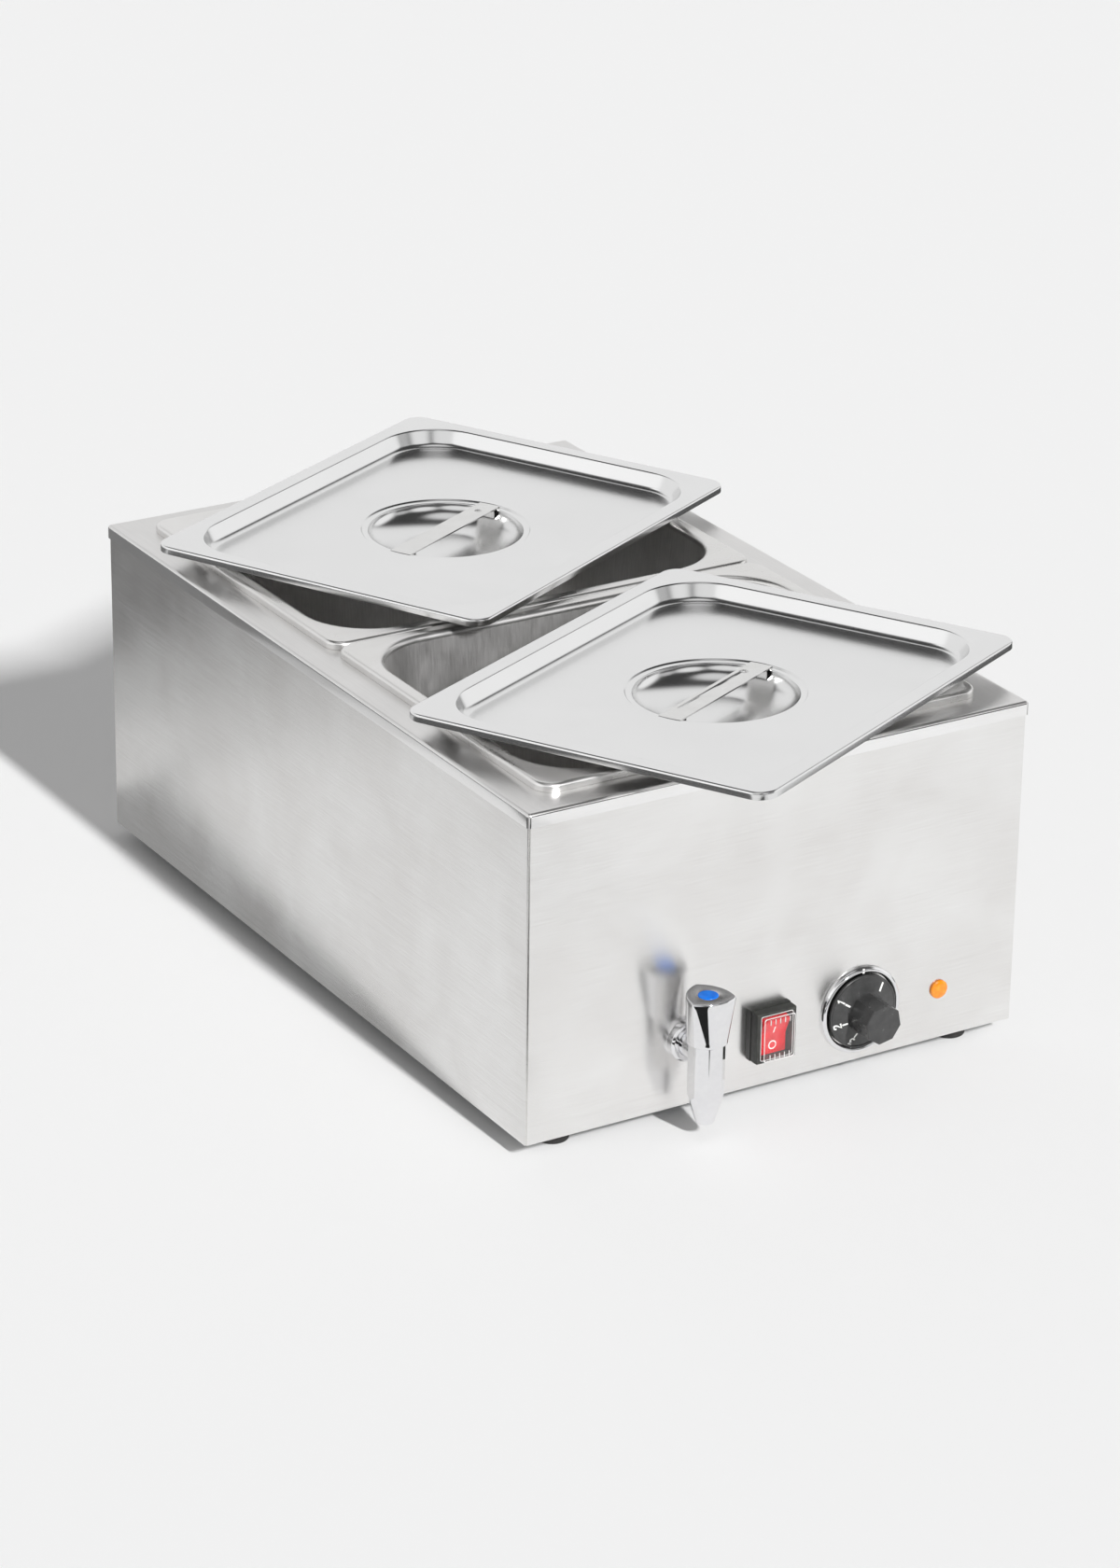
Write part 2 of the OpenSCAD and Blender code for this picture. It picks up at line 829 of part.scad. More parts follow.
module tap_gland_ring() {
    color([0.8, 0.68, 0.42])
        translate([tap_x, tap_y, ring_z])
            difference() {
                cylinder(r = plug_r, h = ring_h);
                translate([0, 0, -over])
                    cylinder(r = stem_r + turn_gap, h = ring_h + 2 * over);
            }
}

// The plug's port turns the water from the side to straight down
module tap_spindle() {
    color([0.8, 0.68, 0.42])
        translate([tap_x, tap_y, 0])
            difference() {
                union() {
                    translate([0, 0, plug_z])
                        cylinder(r = plug_r, h = ring_z - plug_z - turn_gap);
                    translate([0, 0, plug_z])
                        cylinder(r = stem_r, h = stem_top - plug_z);
                }
                translate([0, 0, plug_z - over])
                    cylinder(r = bore_r - plug_r / 4, h = tap_z - plug_z + over);
                translate([0, 0, tap_z])
                    rotate([0, 90, 0])
                        cylinder(r = bore_r - plug_r / 4, h = plug_r + over);
                translate([0, 0, stem_top - tap_screw_l + tap_web])
                    cylinder(r = tap_screw_r + thread_gap, h = tap_screw_l);
            }
}

// Three bulging sides that meet in rounded corners, before tapering to a round foot
module handle_plan(inset) {
    lean = (handle_corner ^ 2 - handle_side ^ 2) / (2 * handle_side - handle_corner);
    offset(r = handle_round_r - inset)
        offset(delta = -handle_round_r)
            intersection_for(k = [0:2])
                rotate([0, 0, handle_turn + 120 * k])
                    translate([lean, 0])
                        circle(handle_side + lean);
}

module tap_handle() {
    foot_z = tap_top + handle_gap;
    color([0.86, 0.87, 0.89])
        translate([tap_x, tap_y, 0])
            difference() {
                hull() {
                    translate([0, 0, foot_z])
                        cylinder(r = handle_foot_r, h = handle_foot_h, $fn = 48);
                    translate([0, 0, handle_top - handle_bevel - slab])
                        linear_extrude(height = slab)
                            handle_plan(0, $fn = 48);
                    translate([0, 0, handle_top - slab])
                        linear_extrude(height = slab)
                            handle_plan(handle_bevel, $fn = 48);
                }
                translate([0, 0, foot_z - over])
                    cylinder(r = stem_r + turn_gap, h = stem_top - foot_z + over);
                translate([0, 0, foot_z])
                    cylinder(r = tap_screw_r + hole_gap, h = handle_top);
                translate([0, 0, stem_top + tap_web])
                    cylinder(r = tap_screw_head_r + hole_gap, h = handle_top);
                translate([0, 0, handle_top - index_sink])
                    cylinder(r = index_r + thread_gap, h = handle_top);
            }
}

module tap_handle_screw() {
    color([0.6, 0.6, 0.62])
        translate([tap_x, tap_y, stem_top + tap_web]) {
            cylinder(r = tap_screw_head_r, h = tap_screw_head_h);
            translate([0, 0, -tap_screw_l + tap_web])
                cylinder(r = tap_screw_r, h = tap_screw_l - tap_web + tap_screw_head_h / 2);
        }
}

module tap_index_cap() {
    color([0.0, 0.35, 0.85])
        translate([tap_x, tap_y, handle_top - index_sink])
            rotate_extrude()
                polygon(concat([[0, 0], [index_r, 0], [index_r, index_sink]],
                    [for (k = [1:6]) [index_r * cos(15 * k),
                        index_sink + (index_h - index_sink) * sin(15 * k)]]));
}

// Four legs under the tank, joined by three half turns
module heater_element() {
    color([0.35, 0.3, 0.28])
        translate([0, 0, heater_z]) {
            for (s = [-1, 1]) {
                rod_y(s * leg_half, 0, heater_r, -leg_front, leg_rear);
                rod_y(3 * s * leg_half, 0, heater_r, -leg_front - cold_end, leg_rear);
                rod_y(3 * s * leg_half, 0, heater_r / 2, -leg_front - cold_end - heater_r * 2,
                    -leg_front - cold_end);
                translate([2 * s * leg_half, leg_rear, 0])
                    rotate_extrude(angle = 180)
                        translate([leg_half, 0])
                            circle(heater_r);
            }
            translate([0, -leg_front, 0])
                rotate([0, 0, 180])
                    rotate_extrude(angle = 180)
                        translate([leg_half, 0])
                            circle(heater_r);
        }
}

module clamp_bars() {
    color([0.7, 0.7, 0.7])
        for (y = bar_spots)
            translate([0, y, 0])
                difference() {
                    block(bar_l, bar_w, bar_z, bar_z + bar_t);
                    for (x = stud_xs)
                        translate([x, 0, bar_z - over])
                            cylinder(r = stud_r + hole_gap, h = bar_t + 2 * over);
                }
}

module clamp_studs() {
    stud_z = bar_z - stud_nut_h - stud_tail;
    color([0.65, 0.65, 0.67])
        for (y = bar_spots, x = stud_xs)
            translate([x, y, stud_z])
                cylinder(r = stud_r, h = tank_under - stud_z);
}

module clamp_nuts() {
    color([0.65, 0.65, 0.67])
        for (y = bar_spots, x = stud_xs)
            translate([x, y, bar_z - stud_nut_h])
                hex_nut(stud_nut_flats, stud_nut_h, stud_r + thread_gap);
}

module thermostat_body() {
    color([0.88, 0.86, 0.8])
        difference() {
            union() {
                translate([knob_x - stat_w / 2, panel_back, knob_z - stat_h / 2])
                    cube([stat_w, stat_d, stat_h]);
                rod_y(knob_x, knob_z, stat_boss_r, panel_back - stat_boss_l, panel_back + over);
                for (s = [-1, 1])
                    translate([knob_x + s * blade_x - blade_w / 2, panel_back + stat_d - over,
                        knob_z - stat_h / 4])
                        cube([blade_w, blade_l + over, blade_t]);
            }
            rod_y(knob_x, knob_z, shaft_r + turn_gap, front_y - over, panel_back + shaft_in);
            for (s = [-1, 1])
                rod_y(knob_x + s * stat_screw_x, knob_z, stat_screw_r + thread_gap,
                    front_y, front_y + stat_screw_l + over);
        }
}

module thermostat_screws() {
    color([0.6, 0.6, 0.62])
        for (s = [-1, 1]) {
            x = knob_x + s * stat_screw_x;
            rod_y(x, knob_z, stat_head_r, front_y - stat_head_h, front_y);
            rod_y(x, knob_z, stat_screw_r, front_y - stat_head_h / 2, front_y + stat_screw_l);
        }
}

module thermostat_shaft() {
    color([0.7, 0.7, 0.72])
        rod_y(knob_x, knob_z, shaft_r, front_y - dial_back - shaft_out,
            panel_back + shaft_in - seat_gap);
}

module capillary_bulb() {
    tube_x = knob_x + stat_w / 4;
    tube_y = panel_back + stat_d + wire_end;
    tube_z = knob_z + stat_h / 3;
    color([0.72, 0.45, 0.25]) {
        rod_y(bulb_x, bulb_z, bulb_r, bulb_y, bulb_y + bulb_l);
        lead([[bulb_x, bulb_y + over, bulb_z], [bulb_x, drain_y + 2 * elbow_r, bulb_z],
            [tube_x, tube_y + elbow_r, tube_z], [tube_x, tube_y, tube_z]], capillary_r);
    }
}

module bulb_clip() {
    color([0.7, 0.7, 0.7])
        translate([bulb_x, bulb_y + bulb_l / 2, 0])
            difference() {
                block(clip_w, clip_l, tank_under - clip_h, tank_under);
                rod_y(0, bulb_z, bulb_r + seat_gap, -clip_l, clip_l);
                block(2 * bulb_r, clip_l + 2 * over, bulb_z, tank_under + over);
            }
}

module thermal_cutout() {
    color([0.82, 0.8, 0.74])
        translate([0, cutout_y, tank_under]) {
            translate([0, 0, -cutout_h])
                cylinder(r = cutout_r, h = cutout_h);
            translate([0, 0, -cutout_flange])
                cylinder(r = cutout_r + cutout_flange, h = cutout_flange);
            for (s = [-1, 1])
                translate([s * cutout_r / 2 - blade_t / 2, -blade_w / 2, -cutout_h - blade_l])
                    cube([blade_t, blade_w, blade_l + over]);
        }
}

module dial_bezel() {
    band = bezel_r - bezel_in_r;
    color([0.88, 0.88, 0.9])
        translate([knob_x, front_y, knob_z])
            rotate([90, 0, 0])
                rotate_extrude()
                    polygon(concat([[bezel_in_r, 0], [bezel_r, 0]],
                        [for (a = [20:20:160]) [bezel_in_r + band / 2 * (1 + cos(a)),
                            bezel_h * sin(a)]]));
}

// Dial with a thin rim, a shallow cone and an eight-sided grip
module control_knob() {
    color([0.12, 0.12, 0.12])
        translate([knob_x, front_y, knob_z])
            rotate([90, 0, 0])
                difference() {
                    union() {
                        rotate_extrude()
                            polygon([[0, dial_back], [dial_r, dial_back],
                                [dial_r, dial_back + dial_rim],
                                [dial_r - dial_lip, dial_back + dial_rim + dial_lip / 2],
                                [dial_r - 2 * dial_lip, dial_back + dial_rim],
                                [grip_r + dial_lip, dial_face], [0, dial_face]]);
                        translate([0, 0, dial_face - dial_lip])
                            rotate([0, 0, -grip_turn])
                                cylinder(r = grip_r, h = knob_out - dial_face + dial_lip, $fn = 8);
                    }
                    translate([0, 0, dial_back - over])
                        cylinder(r = shaft_r + turn_gap, h = shaft_out + seat_gap + over);
                }
}

module switch_housing() {
    color([0.1, 0.1, 0.1])
        difference() {
            translate([switch_x - housing_w / 2, front_y, switch_z - housing_h / 2])
                cube([housing_w, housing_d, housing_h]);
            translate([switch_x - housing_w / 2 + housing_side, front_y - over,
                switch_z - housing_h / 2 + housing_end])
                cube([housing_w - 2 * housing_side, cavity_d + over, housing_h - 2 * housing_end]);
            translate([switch_x - housing_w / 2 - over, front_y + pivot_in, switch_z])
                rotate([0, 90, 0])
                    cylinder(r = rocker_pin_r + turn_gap, h = housing_w + 2 * over);
        }
}

module switch_terminals() {
    color([0.8, 0.75, 0.5])
        for (x = [-1, 1], z = [-1, 1])
            translate([switch_x + x * blade_x - blade_w / 2, front_y + housing_d,
                switch_z + z * blade_z])
                cube([blade_w, blade_l, blade_t]);
}

module switch_frame() {
    color([0.25, 0.25, 0.25])
        translate([switch_x, front_y, switch_z])
            rotate([90, 0, 0])
                difference() {
                    union() {
                        block(frame_w, frame_h, 0, flange_t);
                        block(frame_w - 2 * groove_in, frame_h - 2 * groove_in, 0, frame_out);
                        block(frame_w - 2 * body_in, frame_h - 2 * body_in,
                            flange_t + groove_t, frame_out);
                    }
                    block(window_w, window_h, -over, frame_out + over);
                }
}

// Clear splash cover with short ribs along its top and bottom
module switch_cover() {
    cover_w = window_w + 2 * cover_t;
    cover_h = window_h + 2 * cover_t;
    color([0.9, 0.9, 0.92, 0.4])
        translate([switch_x, front_y, switch_z])
            rotate([90, 0, 0]) {
                difference() {
                    block(cover_w, cover_h, frame_out, frame_out + cover_out);
                    block(window_w, window_h, frame_out - over, frame_out + cover_out - cover_t);
                }
                for (k = [0:rib_count - 1], s = [-1, 1])
                    translate([(k - (rib_count - 1) / 2) * rib_pitch,
                        s * (cover_h / 2 - rib_l / 2 - cover_t), 0])
                        block(rib_w, rib_l, frame_out + cover_out - cover_t / 2,
                            frame_out + cover_out + rib_h);
            }
}

// Rocker section seen from its side: along the face, then out from the pivot
function rocker_section() =
    let (t = rocker_tilt, d0 = rocker_face + pivot_in,
        reach = window_h / 2 - rocker_gap,
        c = (reach - d0 * sin(t)) * cos(t),
        tip = [c, d0 + c * tan(t)],
        foot = [reach * cos(t), reach * sin(t)])
    [[0, d0], tip, foot, [rocker_hub_r, -rocker_hub_r / 2],
        [-rocker_hub_r, -rocker_hub_r / 2], [-foot[0], foot[1]], [-tip[0], tip[1]]];

module switch_rocker() {
    color([0.85, 0.05, 0.08])
        translate([switch_x, front_y + pivot_in, switch_z])
            rotate([rocker_tilt, 0, 0])
                rotate([0, 90, 0]) {
                    linear_extrude(height = rocker_w, center = true)
                        rotate([0, 0, 180])
                            polygon(rocker_section());
                    cylinder(r = rocker_hub_r, h = rocker_w, center = true);
                    cylinder(r = rocker_pin_r, h = rocker_w + 2 * rocker_pin_l, center = true);
                }
}

module lamp_body() {
    color([0.85, 0.84, 0.8])
        difference() {
            union() {
                rod_y(lamp_x, lamp_z, lamp_r, front_y, front_y + lamp_l);
                for (s = [-1, 1])
                    translate([lamp_x + s * lamp_r / 2 - blade_t / 2, front_y + lamp_l - over,
                        lamp_z - lamp_r / 2])
                        cube([blade_t, blade_l + over, lamp_r]);
            }
            rod_y(lamp_x, lamp_z, lamp_r - lamp_wall, front_y - over, front_y + lamp_l - lamp_r);
        }
}

// Lens with a low dome, its stem pushed into the lamp's tube
module lamp_lens() {
    color([0.95, 0.55, 0.05]) {
        translate([lamp_x, front_y, lamp_z])
            rotate([90, 0, 0])
                rotate_extrude()
                    polygon(concat([[0, 0], [lens_r, 0], [lens_r, lens_edge]],
                        [for (k = [1:5]) [lens_r * cos(18 * k),
                            lens_edge + (lens_out - lens_edge) * sin(18 * k)]]));
        rod_y(lamp_x, lamp_z, lamp_r - lamp_wall - thread_gap, front_y - lens_edge / 2,
            front_y + lens_stem_l);
    }
}

module lamp_nut() {
    color([0.7, 0.7, 0.7])
        difference() {
            rod_y(lamp_x, lamp_z, lamp_nut_r, panel_back, panel_back + lamp_nut_h);
            rod_y(lamp_x, lamp_z, lamp_r + thread_gap, front_y, panel_back + lamp_nut_h + over);
        }
}

block_spots = [for (k = [-1, 0, 1], s = [-1, 1])
    [gland_right + k * block_pitch, block_y + s * block_row]];

module terminal_block() {
    color([0.92, 0.92, 0.88])
        difference() {
            translate([gland_right, block_y, 0])
                block(block_l, block_w, plate_top, plate_top + block_h);
            for (p = block_spots)
                translate([p[0], p[1], plate_top + block_h / 2])
                    cylinder(r = block_screw_r + thread_gap, h = block_h);
        }
}

module terminal_screws() {
    color([0.8, 0.68, 0.42])
        for (p = block_spots)
            translate([p[0], p[1], plate_top + block_h / 2]) {
                cylinder(r = block_screw_r, h = block_h / 2 + block_head_h);
                translate([0, 0, block_h / 2])
                    cylinder(r = block_head_r, h = block_head_h);
            }
}

// Leads along the right side, from the block to the controls and the heater
module wire_loom() {
    block_front = block_y - block_w / 2 - wire_end;
    blade_end = front_y + housing_d + blade_l + wire_end;
    stat_end = panel_back + stat_d + blade_l + wire_end;
    lamp_end = front_y + lamp_l + blade_l + wire_end;
    heat_end = -leg_front - cold_end - 2 * heater_r - wire_end;
    color([0.35, 0.2, 0.12]) {
        for (k = [0:2]) {
            lane = wire_x - k * wire_pitch;
            z = wire_z;
            turn_y = wire_turn_y + k * wire_pitch;
            to_x = [lamp_x + lamp_r / 2, knob_x + blade_x, switch_x + blade_x][k];
            to_y = [lamp_end, stat_end, blade_end][k];
            to_z = [lamp_z, knob_z - stat_h / 4, switch_z - blade_z][k];
            lead([[gland_right + (1 - k) * block_pitch, block_front, z],
                [gland_right + (1 - k) * block_pitch, block_front - (3 - k) * wire_pitch, z],
                [lane, block_front - 2 * block_w, z], [lane, turn_y, z],
                [to_x, turn_y, to_z], [to_x, to_y, to_z]], wire_r);
        }
        for (s = [-1, 1])
            lead([[3 * s * leg_half, heat_end, heater_z],
                [3 * s * leg_half, heat_end - 2 * wire_pitch, heater_z],
                [s * blade_x + (s > 0 ? knob_x : switch_x), heat_end - 5 * wire_pitch,
                    s > 0 ? knob_z - stat_h / 4 + wire_pitch : switch_z + blade_z],
                [s * blade_x + (s > 0 ? knob_x : switch_x) - (s > 0 ? 2 * blade_x : 0),
                    s > 0 ? stat_end : blade_end,
                    s > 0 ? knob_z - stat_h / 4 : switch_z + blade_z]], wire_r);
    }
}

module earth_stud() {
    color([0.8, 0.68, 0.42])
        translate([earth_x, block_y, plate_top]) {
            cylinder(r = foot_screw_r, h = earth_l);
            cylinder(r = hex_r(nut_flats), h = nut_h, $fn = 6);
        }
}

module cable_gland() {
    color([0.12, 0.12, 0.12])
        translate([gland_right, rear_y, gland_z])
            rotate([-90, 0, 0])
                difference() {
                    union() {
                        translate([0, 0, -sheet - gland_in])
                            cylinder(r = gland_r, h = sheet + gland_in + over);
                        cylinder(r = hex_r(gland_flats), h = gland_hex, $fn = 6);
                        translate([0, 0, gland_hex - over / 2])
                            cylinder(r1 = gland_r + over, r2 = gland_tip_r,
                                h = gland_dome + over / 2);
                    }
                    translate([0, 0, -sheet - gland_in - over])
                        cylinder(r = gland_bore_r,
                            h = sheet + gland_in + gland_hex + gland_dome + 2 * over);
                }
}

module gland_nut() {
    color([0.12, 0.12, 0.12])
        translate([gland_right, rear_y - sheet, gland_z])
            rotate([90, 0, 0])
                hex_nut(gland_nut_flats, gland_nut_h, gland_r + thread_gap);
}

module feet() {
    color([0.1, 0.1, 0.1])
        for (p = foot_spots)
            translate([p[0], p[1], 0])
                rotate_extrude()
                    polygon([[foot_head_r + hole_gap, 0], [foot_r, 0], [foot_top_r, foot_h],
                        [foot_screw_r + hole_gap, foot_h], [foot_screw_r + hole_gap, foot_sink],
                        [foot_head_r + hole_gap, foot_sink]]);
}

module foot_screws() {
    color([0.6, 0.6, 0.62])
        for (p = foot_spots)
            translate([p[0], p[1], foot_sink]) {
                translate([0, 0, -foot_head_h])
                    cylinder(r = foot_head_r, h = foot_head_h);
                translate([0, 0, -foot_head_h / 2])
                    cylinder(r = foot_screw_r, h = plate_top + nut_h - foot_sink + foot_head_h);
            }
}

module foot_nuts() {
    color([0.6, 0.6, 0.62])
        for (p = foot_spots)
            translate([p[0], p[1], plate_top])
                hex_nut(nut_flats, nut_h, foot_screw_r + thread_gap);
}

// Slices of a pan's body: the wall leans in, then a round leads to the floor
module pan_slices(grow, floor_r) {
    steps = 5;
    wall_z = pan_depth - pan_floor_r;
    translate([0, 0, -roll_r - slab])
        linear_extrude(height = slab)
            plan(mouth_w + 2 * grow, mouth_d + 2 * grow, mouth_r + grow);
    for (k = [0:steps]) {
        a = 90 * k / steps;
        inset = pan_draft + floor_r * (1 - cos(a)) - grow;
        translate([0, 0, -wall_z - floor_r * sin(a)])
            linear_extrude(height = slab)
                plan(mouth_w - 2 * inset, mouth_d - 2 * inset, mouth_r - inset);
    }
}

// Pan with its rim's top face at z = 0
module pan() {
    run_round(rim_w, rim_d, rim_r)
        polygon(edge_section(rim_r, rim_edge_r, rim_h, pan_t));
    translate([0, 0, -pan_t])
        linear_extrude(height = pan_t)
            difference() {
                plan(rim_w - 2 * rim_edge_r, rim_d - 2 * rim_edge_r, rim_r - rim_edge_r);
                plan(mouth_w + 2 * roll_r, mouth_d + 2 * roll_r, mouth_r + roll_r);
            }
    run_round(mouth_w, mouth_d, mouth_r)
        polygon(concat(arc(mouth_r + roll_r, -roll_r, roll_r, 90, 180),
            arc(mouth_r + roll_r, -roll_r, roll_r - pan_t, 180, 90)));
    difference() {
        hull()
            pan_slices(pan_t, pan_floor_r, $fn = 32);
        hull() {
            pan_slices(0, pan_floor_r - pan_t, $fn = 32);
            translate([0, 0, -roll_r])
                linear_extrude(height = over)
                    plan(mouth_w, mouth_d, mouth_r, $fn = 32);
        }
    }
}

module front_pan() {
    color([0.8, 0.8, 0.79])
        translate([0, -pan_y, rim_top])
            pan();
}

module rear_pan() {
    color([0.8, 0.8, 0.79])
        translate([0, pan_y, rim_top])
            pan();
}

// Section of the recess wall, between the flange's bend and the panel's bend
function wall_section(steep, ease) =
    let (x0 = recess_r + ease, x1 = recess_r - wall_run - ease, y1 = bend_r - lid_drop)
    concat(
        arc(x0, -bend_r, bend_r, 90, 90 + steep, 5),
        arc(x1, y1, bend_r, steep - 90, -90, 5),
        arc(x1, y1, bend_r + lid_t, -90, steep - 90, 5),
        arc(x0, -bend_r, bend_r - lid_t, 90 + steep, 90, 5));

// Top face of the hand cup, from its edge to its middle
function cup_path() =
    let (r0 = cup_r - cup_band, sweep = 72, n = 8)
    concat([[cup_r + over, 0], [cup_r, 0], [cup_r - cup_step, -cup_step], [r0 + cup_step, -cup_step]],
        [for (k = [1:n]) let (a = sweep * k / n)
            [cup_floor_r + (r0 - cup_floor_r) * (cos(a) - cos(sweep)) / (1 - cos(sweep)),
                -cup_step - (cup_depth - cup_step) * sin(a) / sin(sweep)]]);

// Lid with its flange's top face at z = 0
module lid() {
    steep = atan2(lid_drop, wall_run);
    ease = fine(bend_r * tan(steep / 2));
    recess_w = lid_w - 2 * lid_flange;
    recess_d = lid_d - 2 * lid_flange;
    panel_in = wall_run + ease;
    run_round(lid_w, lid_d, lid_r)
        polygon(edge_section(lid_r, lid_edge_r, lid_lip_h, lid_t));
    translate([0, 0, -lid_t])
        linear_extrude(height = lid_t)
            difference() {
                plan(lid_w - 2 * lid_edge_r, lid_d - 2 * lid_edge_r, lid_r - lid_edge_r);
                plan(recess_w + 2 * ease, recess_d + 2 * ease, recess_r + ease);
            }
    run_round(recess_w, recess_d, recess_r)
        polygon(wall_section(steep, ease));
    translate([0, 0, -lid_drop - lid_t])
        difference() {
            linear_extrude(height = lid_t)
                plan(recess_w - 2 * panel_in, recess_d - 2 * panel_in, recess_r - panel_in);
            translate([0, 0, -over])
                cylinder(r = cup_r, h = lid_t + 2 * over);
        }
    translate([0, 0, -lid_drop])
        rotate_extrude()
            polygon(concat(cup_path(), [[0, -cup_depth], [0, -cup_depth - lid_t]],
                turned([for (q = cup_path()) q + [lid_t * (q[0] < cup_r - cup_band ? cup_lean_share : 0),
                    -lid_t]])));
}

// Strap that lies on the cup's shoulder, with a tab bent down at each end
module strap() {
    reach = cup_r - cup_step - hole_gap;
    tab_x = cup_r - cup_band - strap_w / 4;
    translate([0, 0, -lid_drop - cup_step]) {
        intersection() {
            block(2 * cup_r, strap_w, 0, cup_step);
            cylinder(r = reach, h = cup_step);
        }
        for (s = [-1, 1])
            translate([s * tab_x, 0, 0])
                block(cup_step, strap_w, -tab_h, cup_step / 2);
    }
}

module at_rear_lid() {
    translate([rear_lid_x, pan_y + rear_lid_y, rim_top + lid_t + lid_drop])
        rotate([0, 0, rear_lid_turn])
            children();
}

module at_front_lid() {
    translate([front_lid_x, -pan_y - front_lid_y, rim_top + lid_t + lid_drop + front_lid_rise])
        rotate([-front_lid_fall, 0, 0])
            rotate([0, 0, front_lid_turn])
                children();
}

module front_lid() {
    color([0.84, 0.84, 0.84])
        at_front_lid()
            lid();
}

module rear_lid() {
    color([0.84, 0.84, 0.84])
        at_rear_lid()
            lid();
}

// The front strap has a long slot with a round end, the rear strap a round hole
module front_lid_handle() {
    slot_y = strap_w / 2 - slot_in_share * strap_slot_w;
    hole_x = cup_r - slot_end_share * strap_w;
    color([0.87, 0.87, 0.87])
        at_front_lid()
            difference() {
                strap();
                translate([-hole_x, slot_y - strap_slot_w / 2, -lid_drop - 2 * over])
                    cube([2 * hole_x, strap_slot_w, 3 * over]);
                translate([hole_x, slot_y - strap_hole_r / 2, -lid_drop - 2 * over])
                    cylinder(r = slot_hole_share * strap_hole_r, h = 3 * over);
            }
}

module rear_lid_handle() {
    color([0.87, 0.87, 0.87])
        at_rear_lid()
            difference() {
                strap();
                translate([cup_r - rear_hole_share * strap_w, 0, -lid_drop - 2 * over])
                    cylinder(r = strap_hole_r, h = 3 * over);
            }
}

casing_wrap();
front_panel();
base_plate();
base_screws();
deck();
well_tank();
drain_fitting();
drain_nut();
drain_pipe();
tap_body();
tap_collar();
tap_gasket();
tap_lock_nut();
tap_gland_ring();
tap_spindle();
tap_handle();
tap_handle_screw();
tap_index_cap();
heater_element();
clamp_bars();
clamp_studs();
clamp_nuts();
thermostat_body();
thermostat_screws();
thermostat_shaft();
capillary_bulb();
bulb_clip();
thermal_cutout();
dial_bezel();
control_knob();
switch_housing();
switch_terminals();
switch_frame();
switch_cover();
switch_rocker();
lamp_body();
lamp_lens();
lamp_nut();
terminal_block();
terminal_screws();
wire_loom();
earth_stud();
cable_gland();
gland_nut();
feet();
foot_screws();
foot_nuts();
front_pan();
rear_pan();
front_lid();
rear_lid();
front_lid_handle();
rear_lid_handle();
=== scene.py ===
from math import acos, atan2, cos, pi, radians, sin, sqrt, tan

import bmesh
import bpy
import numpy as np
from mathutils import Matrix


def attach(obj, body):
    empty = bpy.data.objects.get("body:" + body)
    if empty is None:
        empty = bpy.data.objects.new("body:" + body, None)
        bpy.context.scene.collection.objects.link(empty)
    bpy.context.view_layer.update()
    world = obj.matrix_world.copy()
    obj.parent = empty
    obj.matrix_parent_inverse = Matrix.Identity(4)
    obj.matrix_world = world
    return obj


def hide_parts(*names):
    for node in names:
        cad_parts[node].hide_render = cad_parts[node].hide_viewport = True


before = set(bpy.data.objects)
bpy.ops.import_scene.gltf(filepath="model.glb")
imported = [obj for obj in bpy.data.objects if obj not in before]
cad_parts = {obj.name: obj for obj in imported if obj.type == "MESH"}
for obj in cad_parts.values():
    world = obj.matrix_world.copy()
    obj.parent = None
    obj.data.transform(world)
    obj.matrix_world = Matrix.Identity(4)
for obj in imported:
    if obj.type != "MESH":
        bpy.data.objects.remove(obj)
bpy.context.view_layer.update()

mm = 0.001


# sRGB hex to the linear colour that the shaders take
def linear(hexText):
    share = np.array([int(hexText[i:i + 2], 16) for i in (1, 3, 5)]) / 255
    line = np.where(share <= 0.04045, share / 12.92, ((share + 0.055) / 1.055) ** 2.4)
    return (*line.tolist(), 1)


# Shares of half width, radius, half depth, radius for each point of a round-cornered loop:
# a corner point is the corner's centre plus the radius along its angle, and a side point lies
# evenly between the ends of its two corners
def loopShares(sideSteps, cornerSteps):
    signs = ((1, 1), (-1, 1), (-1, -1), (1, -1))
    corners = []
    for q, (sx, sy) in enumerate(signs):
        t = pi / 2 * q + np.linspace(0, pi / 2, cornerSteps + 1)
        corners.append(np.stack([t * 0 + sx, np.cos(t) - sx, t * 0 + sy, np.sin(t) - sy]))
    along = np.linspace(0, 1, sideSteps + 1)[1:-1]
    parts = []
    for q in range(4):
        end, start = corners[q][:, -1:], corners[(q + 1) % 4][:, :1]
        parts += [corners[q], end + (start - end) * along]
    return np.concatenate(parts, axis=1)


# One loop for each row of (width, depth, radius, height)
def rectangleRings(shares, rows):
    w, d, r, z = np.array(rows, float).T
    x = np.outer(w / 2, shares[0]) + np.outer(r, shares[1])
    y = np.outer(d / 2, shares[2]) + np.outer(r, shares[3])
    return np.stack([x, y, np.broadcast_to(z[:, None], x.shape)], axis=2)


# One loop for each row of (radius, height); a radius may be an array that follows the angles
def circleRings(angles, rows):
    return np.array([np.column_stack([r * np.cos(angles), r * np.sin(angles), np.full(len(angles), z)])
                     for r, z in rows])


# Rows for rectangleRings from (inset, height, radius), inset from a width and a depth
def insetRows(width, depth, rows):
    return [(width - 2 * inset, depth - 2 * inset, r, z) for inset, z, r in rows]


